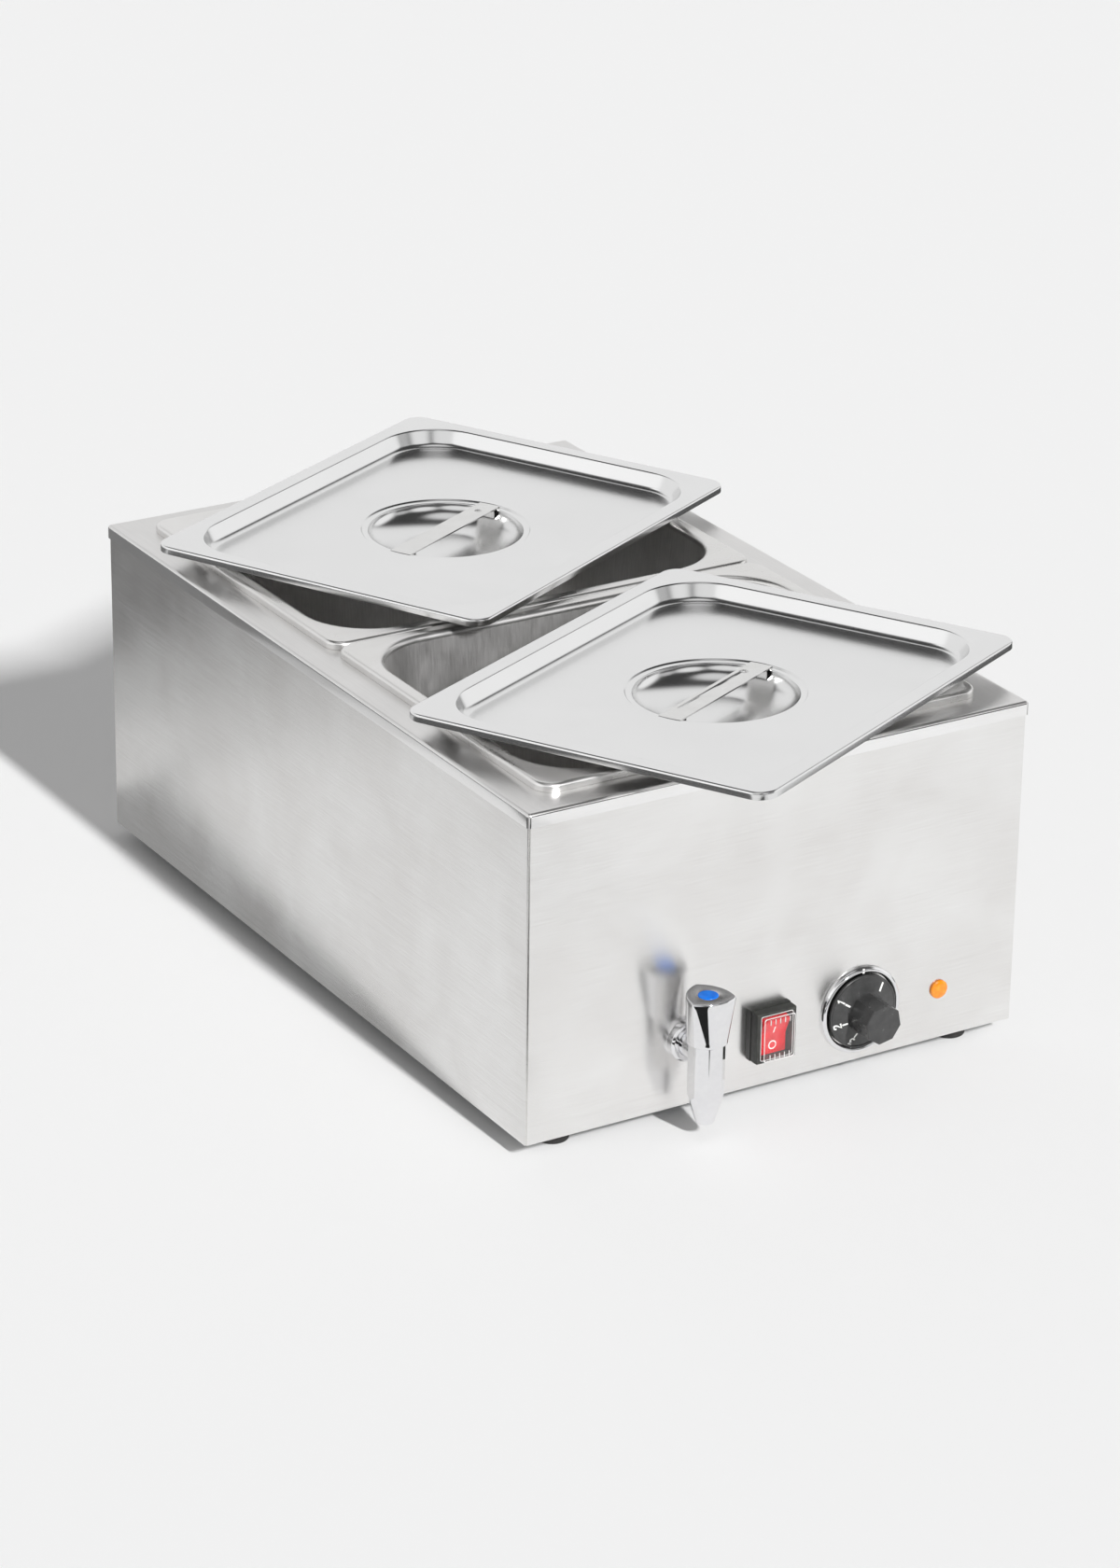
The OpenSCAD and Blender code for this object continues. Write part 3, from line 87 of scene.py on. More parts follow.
# A sheet's folded edge: over the bend, down to its cut edge at the depth low, and back up inside.
# rim gives a loop at an inset and a height; the flat beside the bend starts at flat
def foldedEdge(rim, s, low, flat, steps, ease):
    t, edge = s["sheet"], s["edge"]

    def fold(off):
        return [rim(edge + flat, -off)] + [rim(edge - (edge - off) * cos(a), (edge - off) * sin(a) - edge)
                                           for a in np.linspace(pi / 2, 0, steps)]

    cut = [rim(0, ease - low), rim(0.2, -low), rim(t - 0.2, -low), rim(t, ease - low)]
    return fold(0) + cut + fold(t)[::-1]


def evenAngles(count):
    return np.linspace(0, 2 * pi, count, endpoint=False)


def unitVectors(angles):
    return np.stack([np.cos(angles), np.sin(angles)], axis=-1)


# Polyline whose inner corners become arcs: each arc touches both legs at radius / tan(half
# the angle between them) from the corner
def roundCorners(points, radii, steps=5):
    p = np.array(points, float)
    path = [p[:1]]
    for i in range(1, len(p) - 1):
        u, v = p[i - 1] - p[i], p[i + 1] - p[i]
        lu, lv = np.linalg.norm(u), np.linalg.norm(v)
        u, v = u / lu, v / lv
        half = acos(max(-1, min(1, float(u @ v)))) / 2
        r = radii[i - 1] if i - 1 < len(radii) else 0
        if r <= 0 or half > pi / 2 - 0.01:
            path.append(p[i:i + 1])
            continue
        reach = min(r / tan(half), 0.49 * lu, 0.49 * lv)
        r = reach * tan(half)
        centre = p[i] + (u + v) / np.linalg.norm(u + v) * r / sin(half)
        a, b = p[i] + u * reach - centre, p[i] + v * reach - centre
        sweep = pi - 2 * half
        t = np.linspace(0, 1, steps + 1)[:, None]
        path.append(centre + (a * np.sin((1 - t) * sweep) + b * np.sin(t * sweep)) / sin(sweep))
    path.append(p[-1:])
    return np.concatenate(path)


# Points moved from a piece's own place, in mm, to the row frame
def placed(points, at=(0, 0, 0), turn=None):
    turned = points if turn is None else points @ np.array(turn, float).T
    return turned + np.array(at, float)


facingFront = [[1, 0, 0], [0, 0, -1], [0, 1, 0]]  # a piece's own z points out of the front panel
facingRear = [[-1, 0, 0], [0, 0, 1], [0, 1, 0]]  # and here out of the rear


# Rings joined by quads into one closed solid. "poles" closes both ends to their middles,
# "loop" joins the last ring to the first
def ringFaces(rings, ends):
    count, size = rings.shape[:2]
    rows = np.arange(count if ends == "loop" else count - 1)[:, None]
    cols = np.arange(size)[None, :]
    nextRow, nextCol = (rows + 1) % count, (cols + 1) % size
    quads = np.stack([rows * size + cols, rows * size + nextCol,
                      nextRow * size + nextCol, nextRow * size + cols], axis=2).reshape(-1, 4)
    points = rings.reshape(-1, 3)
    faces = quads.tolist()
    if ends == "poles":
        points = np.concatenate([points, rings[0].mean(0)[None], rings[-1].mean(0)[None]])
        c = np.arange(size)
        top = np.stack([np.full(size, count * size), (c + 1) % size, c], axis=1)
        last = (count - 1) * size
        low = np.stack([np.full(size, count * size + 1), last + c, last + (c + 1) % size], axis=1)
        faces += top.tolist() + low.tolist()
    return points, faces


def newObject(name, data):
    made = bpy.data.objects.new(name, data)
    bpy.context.scene.collection.objects.link(made)
    return made


# Several closed solids, in mm, as one mesh object in metres with outward faces
def solidPiece(name, parts, material, body, replaces=(), sharp=35):
    points, faces, start = [], [], 0
    for p, f in parts:
        points.append(p)
        faces += [[i + start for i in face] for face in f]
        start += len(p)
    mesh = bpy.data.meshes.new(name)
    mesh.from_pydata((np.concatenate(points) * mm).tolist(), [], faces)
    shell = bmesh.new()
    shell.from_mesh(mesh)
    bmesh.ops.remove_doubles(shell, verts=shell.verts, dist=2e-7)
    bmesh.ops.dissolve_degenerate(shell, edges=shell.edges, dist=2e-7)
    bmesh.ops.recalc_face_normals(shell, faces=shell.faces)
    shell.to_mesh(mesh)
    shell.free()
    mesh.shade_smooth()
    mesh.set_sharp_from_angle(angle=radians(sharp))
    mesh.materials.append(material)
    piece = newObject(name, mesh)
    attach(piece, body)
    if replaces:
        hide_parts(*replaces)
    return piece


# A second finish for the faces whose middle, in mm, passes the test
def finishFaces(piece, material, test):
    piece.data.materials.append(material)
    for face in piece.data.polygons:
        if test(*(face.center / mm)):
            face.material_index = 1


# Parts modelled at their own place, carried to the front panel's face
def onPanel(s, parts):
    place = (s["x"], s["panel"], s["z"])
    return [(placed(points, place, facingFront), faces) for points, faces in parts]


# A turned part: its profile of (radius, height) spun round its own z
def turnedPart(profile, count=96, at=(0, 0, 0), turn=None, ends="poles"):
    points, faces = ringFaces(circleRings(evenAngles(count), profile), ends)
    return placed(points, at, turn), faces


# Adds one node: a setting named as a property is set on the node, any other on its socket
def addNode(tree, kind, settings=None, links=None):
    node = tree.nodes.new(kind)
    for key, value in (settings or {}).items():
        if isinstance(key, str) and hasattr(node, key):
            setattr(node, key, value)
        else:
            node.inputs[key].default_value = value
    for key, source in (links or {}).items():
        tree.links.new(source, node.inputs[key])
    return node


def perMetre(sizeMm):
    return 1 / (sizeMm * mm)


def addNoise(tree, place, scale, **settings):
    return addNode(tree, "ShaderNodeTexNoise", {"Scale": scale, **settings}, {"Vector": place}).outputs[0]


# A new material with the given sockets set, and its tree, shader and the piece's own space
def startFinish(name, sockets):
    material = bpy.data.materials.new(name)
    material.use_nodes = True
    tree = material.node_tree
    shader = tree.nodes["Principled BSDF"]
    for key, value in sockets.items():
        shader.inputs[key].default_value = value
    return material, tree, shader, addNode(tree, "ShaderNodeTexCoord").outputs["Object"]


# Colour and roughness follow the share, the relief follows the height
def endFinish(tree, shader, coords, finish, share, height):
    ends = {"From Min": 0.3, "From Max": 0.7}
    spread = addNode(tree, "ShaderNodeMapRange", ends, {"Value": share}).outputs[0]
    tones = {"data_type": "RGBA", 6: linear(finish["dark"]), 7: linear(finish["light"])}
    colour = addNode(tree, "ShaderNodeMix", tones, {0: spread}).outputs[2]
    low, high = finish["rough"]
    rough = addNode(tree, "ShaderNodeMapRange", {"To Min": low, "To Max": high}, {"Value": spread}).outputs[0]
    relief = {"Strength": finish.get("bump", 0.3), "Distance": finish["grainDeep"] * mm}
    bump = addNode(tree, "ShaderNodeBump", relief, {"Height": height}).outputs[0]
    if "wave" in finish:  # the sheet's slow dents lie under its grain
        slow = addNoise(tree, coords, perMetre(finish["waveMm"]), Detail=0)
        relief = {"Strength": 1, "Distance": finish["wave"] * mm}
        bump = addNode(tree, "ShaderNodeBump", relief, {"Height": slow, "Normal": bump}).outputs[0]
    for socket, source in (("Base Color", colour), ("Roughness", rough), ("Normal", bump)):
        tree.links.new(source, shader.inputs[socket])


# Sheet, cast or plated metal. Grain is a noise drawn out along the working direction, patches
# are slow clouds of handling and polish
def metalMaterial(name, **finish):
    material, tree, shader, coords = startFinish(name, {"Metallic": 1, **finish.get("sockets", {})})
    drawnOut = {"Scale": [perMetre(size) for size in finish["grainMm"]]}
    stretched = addNode(tree, "ShaderNodeMapping", drawnOut, {"Vector": coords}).outputs[0]
    grain = addNoise(tree, stretched, 1, Detail=3, Roughness=0.6)
    patches = addNoise(tree, coords, perMetre(finish["patchMm"]), Detail=3, Distortion=0.6)
    share = finish.get("grainShare", 0.4)
    rest = addNode(tree, "ShaderNodeMath", {"operation": "MULTIPLY", 1: 1 - share}, {0: patches}).outputs[0]
    blend = addNode(tree, "ShaderNodeMath", {"operation": "MULTIPLY_ADD", 1: share}, {0: grain, 2: rest})
    endFinish(tree, shader, coords, finish, blend.outputs[0], grain)
    return material


# Moulded plastic, rubber, ceramic or lacquer: a flecked colour under a fine moulded texture
def mouldedMaterial(name, **finish):
    material, tree, shader, coords = startFinish(name, finish.get("sockets", {}))
    fleck = addNoise(tree, coords, perMetre(finish["fleckMm"]), Detail=4)
    texture = addNoise(tree, coords, perMetre(finish["grainMm"]), Detail=2)
    endFinish(tree, shader, coords, finish, fleck, texture)
    return material


# Stainless sheet brushed level with a 240 grit belt. Real scratches are 0.1 mm wide, too fine
# for a picture of the whole object, so the grain is drawn 0.5 mm wide and 40 mm long
# Its near-white colour is partly a painted sheen: raised to stand in for the key light, which the walls don't
# receive
brushedSheetPaintedSheen = metalMaterial(
    "brushedStainlessPaintedSheen", dark="#e8e6e4", light="#fffffe", rough=(0.20, 0.27),
    sockets={"Anisotropic": 0.75, "Anisotropic Rotation": 0.25}, grainMm=(40, 40, 0.45), grainDeep=0.006,
    bump=0.25, patchMm=70, grainShare=0.45, wave=0.2, waveMm=150)

# The deck is the same sheet, brushed front to rear, without the walls' painted sheen
deckSheet = metalMaterial(
    "satinStainlessDeck", dark="#d6d5d4", light="#e6e5e4", rough=(0.27, 0.33), grainMm=(0.6, 45, 0.6),
    grainDeep=0.004, bump=0.2, patchMm=70)

# The deck's folded lip, smoother than the deck; its lighter colour is a painted highlight
lipPaintedHighlight = metalMaterial(
    "foldedLipPaintedHighlight", dark="#f4f3f2", light="#ffffff", rough=(0.12, 0.18), grainMm=(30, 30, 0.8),
    grainDeep=0.002, bump=0.2, patchMm=60)

# Rim of a drawn pan, pressed and polished
pressedRim = metalMaterial(
    "polishedPanRim", dark="#dedddb", light="#eae9e8", rough=(0.25, 0.33), grainMm=(40, 40, 40),
    grainDeep=0.002, bump=0.1, patchMm=35)

# Deep-drawn stainless walls, bright annealed: they keep faint draw marks from top to bottom
drawnPan = metalMaterial(
    "drawnStainlessPan", dark="#dcdbd9", light="#f8f7f6", rough=(0.38, 0.50), grainMm=(1.2, 1.2, 30),
    grainDeep=0.008, patchMm=35, grainShare=0.5)

# Pressed stainless lid, satin sheet that was stretched bright over the press's edges
pressedLid = metalMaterial(
    "pressedStainlessLid", dark="#e6e6e6", light="#ececec", rough=(0.17, 0.21), grainMm=(0.7, 30, 0.7),
    grainDeep=0.002, bump=0.2, patchMm=80)

# Punched strap with tumbled edges
tumbledStrap = metalMaterial(
    "tumbledStainlessStrap", dark="#dad9d8", light="#e8e8e7", rough=(0.20, 0.28), grainMm=(0.8, 0.8, 0.8),
    grainDeep=0.004, patchMm=12, grainShare=0.6)

# Welded tank, plain mill finish with a scale bloom
millTank = metalMaterial(
    "millFinishTank", dark="#8f8f8e", light="#b4b3b1", rough=(0.30, 0.42), grainMm=(1.5, 1.5, 20),
    grainDeep=0.02, patchMm=50)

# Zinc-plated mild steel, slightly blotched
zincPlate = metalMaterial(
    "zincPlatedSteel", dark="#8c9094", light="#b5b8ba", rough=(0.34, 0.48), grainMm=(1.5, 1.5, 1.5),
    grainDeep=0.02, patchMm=9, grainShare=0.3)

# Bright chromium on polished brass
chromePlate = metalMaterial(
    "polishedChromePlate", dark="#e9e9eb", light="#f2f2f3", rough=(0.03, 0.06), grainMm=(3, 3, 3),
    grainDeep=0.01, bump=0.15, patchMm=15, grainShare=0.5)

turnedBrass = metalMaterial(
    "turnedBrass", dark="#b08d45", light="#d0ad62", rough=(0.24, 0.38), grainMm=(6, 6, 0.3), grainDeep=0.01,
    patchMm=10, grainShare=0.6)

drawnCopper = metalMaterial(
    "drawnCopperTube", dark="#a4603c", light="#c98560", rough=(0.22, 0.38), grainMm=(0.6, 10, 0.6),
    grainDeep=0.01, patchMm=14, grainShare=0.6)

# Swaged heater sheath, annealed dark and matt
annealedSheath = metalMaterial(
    "annealedHeaterSheath", dark="#3d3a38", light="#5d5854", rough=(0.45, 0.6), grainMm=(1, 14, 1),
    grainDeep=0.02, bump=0.4, patchMm=18, grainShare=0.6)

# Moulded phenolic knob with a satin skin
knobPlastic = mouldedMaterial(
    "satinBlackPhenolic", dark="#363636", light="#424242", rough=(0.22, 0.28), fleckMm=6, grainMm=0.5,
    grainDeep=0.01, bump=0.35)

# Glass-filled nylon, dull and a little grey
nylonBlack = mouldedMaterial(
    "glassFilledNylonBlack", dark="#2a2b29", light="#3a3b38", rough=(0.28, 0.36), fleckMm=3, grainMm=0.35,
    grainDeep=0.015, bump=0.4)

# Clear-filled red polycarbonate: light enters and comes back red
rockerRed = mouldedMaterial(
    "translucentRedPolycarbonate", dark="#c90014", light="#e8001c", rough=(0.14, 0.20), fleckMm=8,
    grainMm=1, grainDeep=0.005, bump=0.2,
    sockets={"IOR": 1.58, "Subsurface Weight": 0.25, "Subsurface Radius": (0.003, 0.0004, 0.0004)})

# Soft clear PVC splash cover, slightly milky
clearCover = mouldedMaterial(
    "clearSplashCover", dark="#f2f2f0", light="#ffffff", rough=(0.06, 0.12), fleckMm=6, grainMm=1.5,
    grainDeep=0.02, sockets={"IOR": 1.53, "Alpha": 0.04})

# The same cover, near opaque and white where it is seen edge on: a painted highlight of its edges
coverEdgeHighlight = mouldedMaterial(
    "coverEdgePaintedHighlight", dark="#ececea", light="#fdfdfc", rough=(0.10, 0.16), fleckMm=2, grainMm=1,
    grainDeep=0.02, sockets={"IOR": 1.53, "Alpha": 0.85})

# Amber polycarbonate lens, lit through from its own facets
amberLens = mouldedMaterial(
    "amberPolycarbonateLens", dark="#e07c00", light="#f79a10", rough=(0.08, 0.14), fleckMm=2.5, grainMm=1.2,
    grainDeep=0.03, bump=0.4,
    sockets={"IOR": 1.58, "Subsurface Weight": 0.4, "Subsurface Radius": (0.004, 0.002, 0.0004),
             "Coat Weight": 0.5})

# Glossy blue ABS index cap
capBlue = mouldedMaterial(
    "glossyBlueAbs", dark="#0268d8", light="#0a80f0", rough=(0.06, 0.10), fleckMm=5, grainMm=1,
    grainDeep=0.004, bump=0.2)

# Natural rubber foot, dull with a bloom
footRubber = mouldedMaterial(
    "mouldedBlackRubber", dark="#1d1d1d", light="#2f2e2d", rough=(0.62, 0.78), fleckMm=4, grainMm=0.7,
    grainDeep=0.04, bump=0.5)

# Pad-printed white ink
printInk = mouldedMaterial(
    "padPrintedWhiteInk", dark="#e9e9e6", light="#fafaf8", rough=(0.35, 0.45), fleckMm=1, grainMm=0.3,
    grainDeep=0.01, bump=0.2)

# Glazed steatite of the lamp, thermostat and terminal bodies
steatite = mouldedMaterial(
    "glazedSteatite", dark="#d5d2c6", light="#ece9de", rough=(0.30, 0.42), fleckMm=4, grainMm=0.6,
    grainDeep=0.02, bump=0.4)

# Silicone lead insulation
leadSilicone = mouldedMaterial(
    "siliconeLeadInsulation", dark="#5a3a26", light="#74503a", rough=(0.40, 0.52), fleckMm=6, grainMm=0.5,
    grainDeep=0.02, bump=0.4)
print("materials made:", len(bpy.data.materials))

# Every CAD node has its finish, also where a finer piece replaces it
nodeFinishes = (
    (brushedSheetPaintedSheen, "casing_wrap front_panel"),
    (zincPlate, "base_plate base_screws tap_handle_screw clamp_bars clamp_studs clamp_nuts "
                "thermostat_screws thermostat_shaft bulb_clip lamp_nut foot_screws foot_nuts"),
    (deckSheet, "deck"), (millTank, "well_tank"),
    (turnedBrass, "drain_fitting drain_nut tap_lock_nut tap_gland_ring tap_spindle "
                  "switch_terminals terminal_screws earth_stud"),
    (drawnCopper, "drain_pipe capillary_bulb"), (chromePlate, "tap_body tap_collar tap_handle dial_bezel"),
    (footRubber, "tap_gasket feet"), (capBlue, "tap_index_cap"), (annealedSheath, "heater_element"),
    (steatite, "thermostat_body thermal_cutout lamp_body terminal_block"), (knobPlastic, "control_knob"),
    (nylonBlack, "switch_housing switch_frame cable_gland gland_nut"), (clearCover, "switch_cover"),
    (rockerRed, "switch_rocker"), (amberLens, "lamp_lens"), (leadSilicone, "wire_loom"),
    (drawnPan, "front_pan rear_pan"), (pressedLid, "front_lid rear_lid"),
    (tumbledStrap, "front_lid_handle rear_lid_handle"))
for material, nodeNames in nodeFinishes:
    for node in [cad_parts[nodeName] for nodeName in nodeNames.split()]:
        if not node.material_slots:
            node.data.materials.append(material)
        for place in node.material_slots:
            place.material = material

# Deck, in mm
deckSizes = {
    "width": 370, "depth": 573, "top": 236, "lip": 9.5, "edge": 2.5, "sheet": 1, "wellWidth": 305,
    "wellDepth": 510, "wellCorner": 30}


# Loops of one sheet: its folded edge, then along the underside to the well and back on top
def deckPart(s):
    def rim(inset, z):
        return (s["width"] - 2 * inset, s["depth"] - 2 * inset, max(s["edge"] - inset, 0.02), s["top"] + z)

    well = [(s["wellWidth"] + 2 * g, s["wellDepth"] + 2 * g, s["wellCorner"] + g, s["top"] + z)
            for g, z in ((3, -s["sheet"]), (0, -s["sheet"]), (0, -0.2), (0.2, 0), (3, 0))]
    rows = foldedEdge(rim, s, s["lip"], 2, 8, 0.2) + well
    return ringFaces(rectangleRings(loopShares(24, 6), rows), "loop")


deck = solidPiece("foldedDeck", [deckPart(deckSizes)], deckSheet, "base", ["deck"])
# The lip's outer faces take the painted highlight
finishFaces(deck, lipPaintedHighlight, lambda x, y, z: abs(x) > deckSizes["width"] / 2 - 0.3 or
            abs(y) > deckSizes["depth"] / 2 - 0.3)

# Pans, in mm
panSizes = {
    "width": 325, "depth": 265, "corner": 13, "skirt": 5.5, "edge": 3, "sheet": 0.8, "flange": 12.5,
    "roll": 4.5, "mouthCorner": 45, "deep": 150, "draft": 9, "floorRound": 15, "rimTop": 241.5,
    "middle": 132.7}


# Loops from the floor's middle up the inside, over the roll and the rim to its skirt, and
# back down the outside: the wall leans in evenly, and a quarter round leads to the floor
def panPart(s, y):
    t, roll, draft, floorRound = s["sheet"], s["roll"], s["draft"], s["floorRound"]
    wallFoot = s["deep"] - floorRound
    quarter = np.linspace(0, pi / 2, 9)
    mouthW, mouthD = s["width"] - 2 * s["flange"], s["depth"] - 2 * s["flange"]

    def mouth(grow, z):  # a loop outside the mouth by grow
        return (mouthW + 2 * grow, mouthD + 2 * grow, max(s["mouthCorner"] + grow, 3), z)

    def rim(inset, z):  # a loop inside the rim's edge by inset
        return (s["width"] - 2 * inset, s["depth"] - 2 * inset, s["corner"] - inset, z)

    def body(off):  # the face that lies off below the sheet's upper one
        r, floorZ, bend = floorRound - t + off, t - off - s["deep"], roll - off
        rows = [mouth(-draft - floorRound - 60, floorZ), mouth(-draft - floorRound - 3, floorZ)]
        rows += [mouth(off - draft - r * (1 - cos(a)), -wallFoot - r * sin(a)) for a in quarter[::-1]]
        rows += [mouth(off - draft * u, -roll - (wallFoot - roll) * u) for u in (0.97, 0.5, 0.06)]
        rows += [mouth(roll - bend * cos(a), bend * sin(a) - roll) for a in quarter]
        return rows + [mouth(roll + 0.8, -off)]

    rows = body(0) + foldedEdge(rim, s, s["skirt"], 0.8, 9, 0.2) + body(t)[::-1]
    points, faces = ringFaces(rectangleRings(loopShares(20, 14), rows), "poles")
    return placed(points, (0, y, s["rimTop"])), faces


for name, body, node, side in (("drawnPanFront", "front_pan_body", "front_pan", -1),
                               ("drawnPanRear", "rear_pan_body", "rear_pan", 1)):
    pan = solidPiece(name, [panPart(panSizes, side * panSizes["middle"])], pressedRim, body,
                     [node])
    finishFaces(pan, drawnPan, lambda x, y, z: z < panSizes["rimTop"] - panSizes["skirt"] - 0.5)

# Lids, in mm
lidSizes = {
    "width": 322, "depth": 262.5, "sheet": 0.8, "corner": 13, "lip": 5.2, "edge": 1.8, "flange": 12.5,
    "drop": 11.5, "recessCorner": 42, "run": 5.5, "bend": 2, "cove": 6.2, "cup": 58.5, "band": 5, "step": 1,
    "bowl": 15, "bowlFloor": 30, "bowlSweep": 72,
    "rear": {"at": (8, 152.2, 253.8), "turn": 27.5, "fall": 0},
    "front": {"at": (9.6, -190.2, 255.3), "turn": 26.5, "fall": 1.72}}


def turnMatrix(turn, fall):
    return np.array(Matrix.Rotation(radians(-fall), 3, "X") @ Matrix.Rotation(radians(turn), 3, "Z"))


# Loops from the cup's middle outwards along the top, round the folded lip, and back along the
# underside. Cup loops are circles whose points stand at the recess loop's own angles
def lidPart(s, place):
    t, drop = s["sheet"], s["drop"]
    shares = loopShares(44, 12)
    steep = atan2(drop, s["run"])
    ease, coveEase = s["bend"] * tan(steep / 2), s["cove"] * tan(steep / 2)
    recessW, recessD = s["width"] - 2 * s["flange"], s["depth"] - 2 * s["flange"]

    def recess(reach, z):  # reach is the loop's corner radius
        grow = reach - s["recessCorner"]
        return (recessW + 2 * grow, recessD + 2 * grow, reach, z)

    def rim(inset, z):
        return (s["width"] - 2 * inset, s["depth"] - 2 * inset, s["corner"] - inset, z)

    # the bowl falls steeply at its edge and runs out flat towards its floor
    def cupLine(down):
        a = np.radians(np.linspace(0, s["bowlSweep"], 22))
        end = radians(s["bowlSweep"])
        edge, floor = s["cup"] - s["band"], s["bowlFloor"]
        r = floor + (edge - floor) * (np.cos(a) - cos(end)) / (1 - cos(end))
        z = -s["step"] - (s["bowl"] - s["step"]) * np.sin(a) / sin(end) - down
        bowl = np.stack([r, z], axis=1)[::-1]
        step, low = -s["step"] - down, -s["bowl"] - down
        shoulder = roundCorners([bowl[-3], (edge, step), (s["cup"] - s["step"], step), (s["cup"], -down),
                                 (s["cup"] + 3, -down)], [0.9, 0.5, 0.5], 4)
        floorLine = [(0.4 * floor, low), (floor - 2.5, low), (floor - 1, low + 0.03)]
        return np.concatenate([floorLine, bowl[1:-3], shoulder])

    upper = np.linspace(pi / 2, pi / 2 + steep, 7)
    lower = np.linspace(steep - pi / 2, -pi / 2, 9)
    x0, x1, y1 = s["recessCorner"] + ease, s["recessCorner"] - s["run"] - coveEase, s["cove"] - drop

    def body(off):  # the face that lies off below the sheet's upper one
        high, low = s["bend"] - off, s["cove"] + off
        rows = [recess(x1 - 1.2, -drop - off)]
        rows += [recess(x1 + low * cos(a), y1 + low * sin(a)) for a in lower[::-1]]
        rows += [recess(x0 + high * cos(a), high * sin(a) - s["bend"]) for a in upper[::-1]]
        return rows + [recess(x0 + 0.8, -off)]

    rows = body(0) + foldedEdge(rim, s, s["lip"], 0.8, 7, 0.15) + body(t)[::-1]
    sheet = rectangleRings(shares, rows)
    angles = np.arctan2(sheet[0, :, 1], sheet[0, :, 0])
    above, below = cupLine(0), cupLine(t)
    # under the steep bowl the sheet's underside also stands off sideways
    below[:, 0] += 0.55 * (below[:, 0] < s["cup"] - s["band"] - 0.6) * (below[:, 0] > s["bowlFloor"])
    cupTop = circleRings(angles, above) + np.array([0, 0, -drop])
    cupLow = circleRings(angles, below[::-1]) + np.array([0, 0, -drop])
    points, faces = ringFaces(np.concatenate([cupTop, sheet, cupLow]), "poles")
    return placed(points, place["at"], turnMatrix(place["turn"], place["fall"])), faces


lids = []
for name, body, node, where in (("pressedLidFront", "front_lid_body", "front_lid", "front"),
                                ("pressedLidRear", "rear_lid_body", "rear_lid", "rear")):
    lids.append(solidPiece(name, [lidPart(lidSizes, lidSizes[where])], pressedLid, body, [node]))
print("sheet pieces made")

# Drain tap, in mm
tapSizes = {
    "x": -68.4, "y": -310.3, "panel": -285.4, "inletZ": 58, "acrossCorners": 12, "top": 67, "taperTop": 34,
    "tip": 5.8, "tipZ": 11.3, "bore": 4, "neck": 9, "neckIn": 14, "cornerEase": 0.198, "coneSoft": 0.25,
    "collar": 13.5, "collarThick": 6.5, "collarBevel": 1.5, "handleTop": 99, "foot": 13.2, "footHigh": 2,
    "footGap": 0.3, "corner": 17.5, "side": 14, "round": 2.5, "bevel": 1.2, "handleTurn": 84, "cap": 6.5,
    "capSink": 1.2, "capHigh": 2}


# Octagon with eased corners, cut by a cone below: at each height the reach along an angle is
# the smaller of the flat's and the cone's
def tapBodyPart(s):
    angles = evenAngles(240)
    flat = s["acrossCorners"] * cos(pi / 8)
    facets = flat / np.cos((angles + pi / 8) % (pi / 4) - pi / 8)
    reach = np.minimum(facets, s["acrossCorners"] - s["cornerEase"])
    z = np.concatenate([np.linspace(s["tipZ"] + 0.6, s["taperTop"] + 1, 60),
                        np.linspace(s["taperTop"] + 3, s["top"] - 0.6, 8)])
    cone = s["tip"] + (s["acrossCorners"] + 0.5 - s["tip"]) * (z - s["tipZ"]) / (s["taperTop"] - s["tipZ"])
    gap = cone[:, None] - reach
    wall = np.minimum(reach + 0.5 * (gap - np.sqrt(gap * gap + s["coneSoft"] ** 2)), reach)
    mouth = [(s["bore"], s["top"] - 8), (s["bore"], s["tipZ"] + 0.4), (s["bore"] + 0.4, s["tipZ"]),
             (s["tip"] - 0.5, s["tipZ"]), (s["tip"] - 0.15, s["tipZ"] + 0.2)]
    top = [(reach * share, s["top"]) for share in (0.96, 0.8, 0.4)]
    points, faces = ringFaces(circleRings(angles, mouth + list(zip(wall, z)) + top), "poles")
    return placed(points, (s["x"], s["y"], 0)), faces


# Reach of the three-sided plan by the direction its edge faces: round corners of radius
# round - inset stand at their own centres, and each side is an arc about a centre across the axis
def lobePlan(s, facing, inset):
    lean = (s["corner"] ** 2 - s["side"] ** 2) / (2 * s["side"] - s["corner"])
    arc = s["side"] + lean - s["round"]
    centre = (-lean + sqrt(lean * lean - 4 * (lean * lean - arc * arc))) / 2
    spread = atan2(lean * sin(pi / 3), centre + lean / 2)
    third = 2 * pi / 3
    local = (facing - radians(s["handleTurn"]) + third / 2) % third - third / 2
    base = facing - local
    grow = s["round"] - inset
    n = unitVectors(facing)
    cornerPoint = centre * unitVectors(base) + grow * n
    away = base + np.sign(local) * pi / 3 + pi
    sidePoint = lean * unitVectors(away) + (arc + grow) * n
    return np.where((np.abs(local) <= spread)[..., None], cornerPoint, sidePoint)


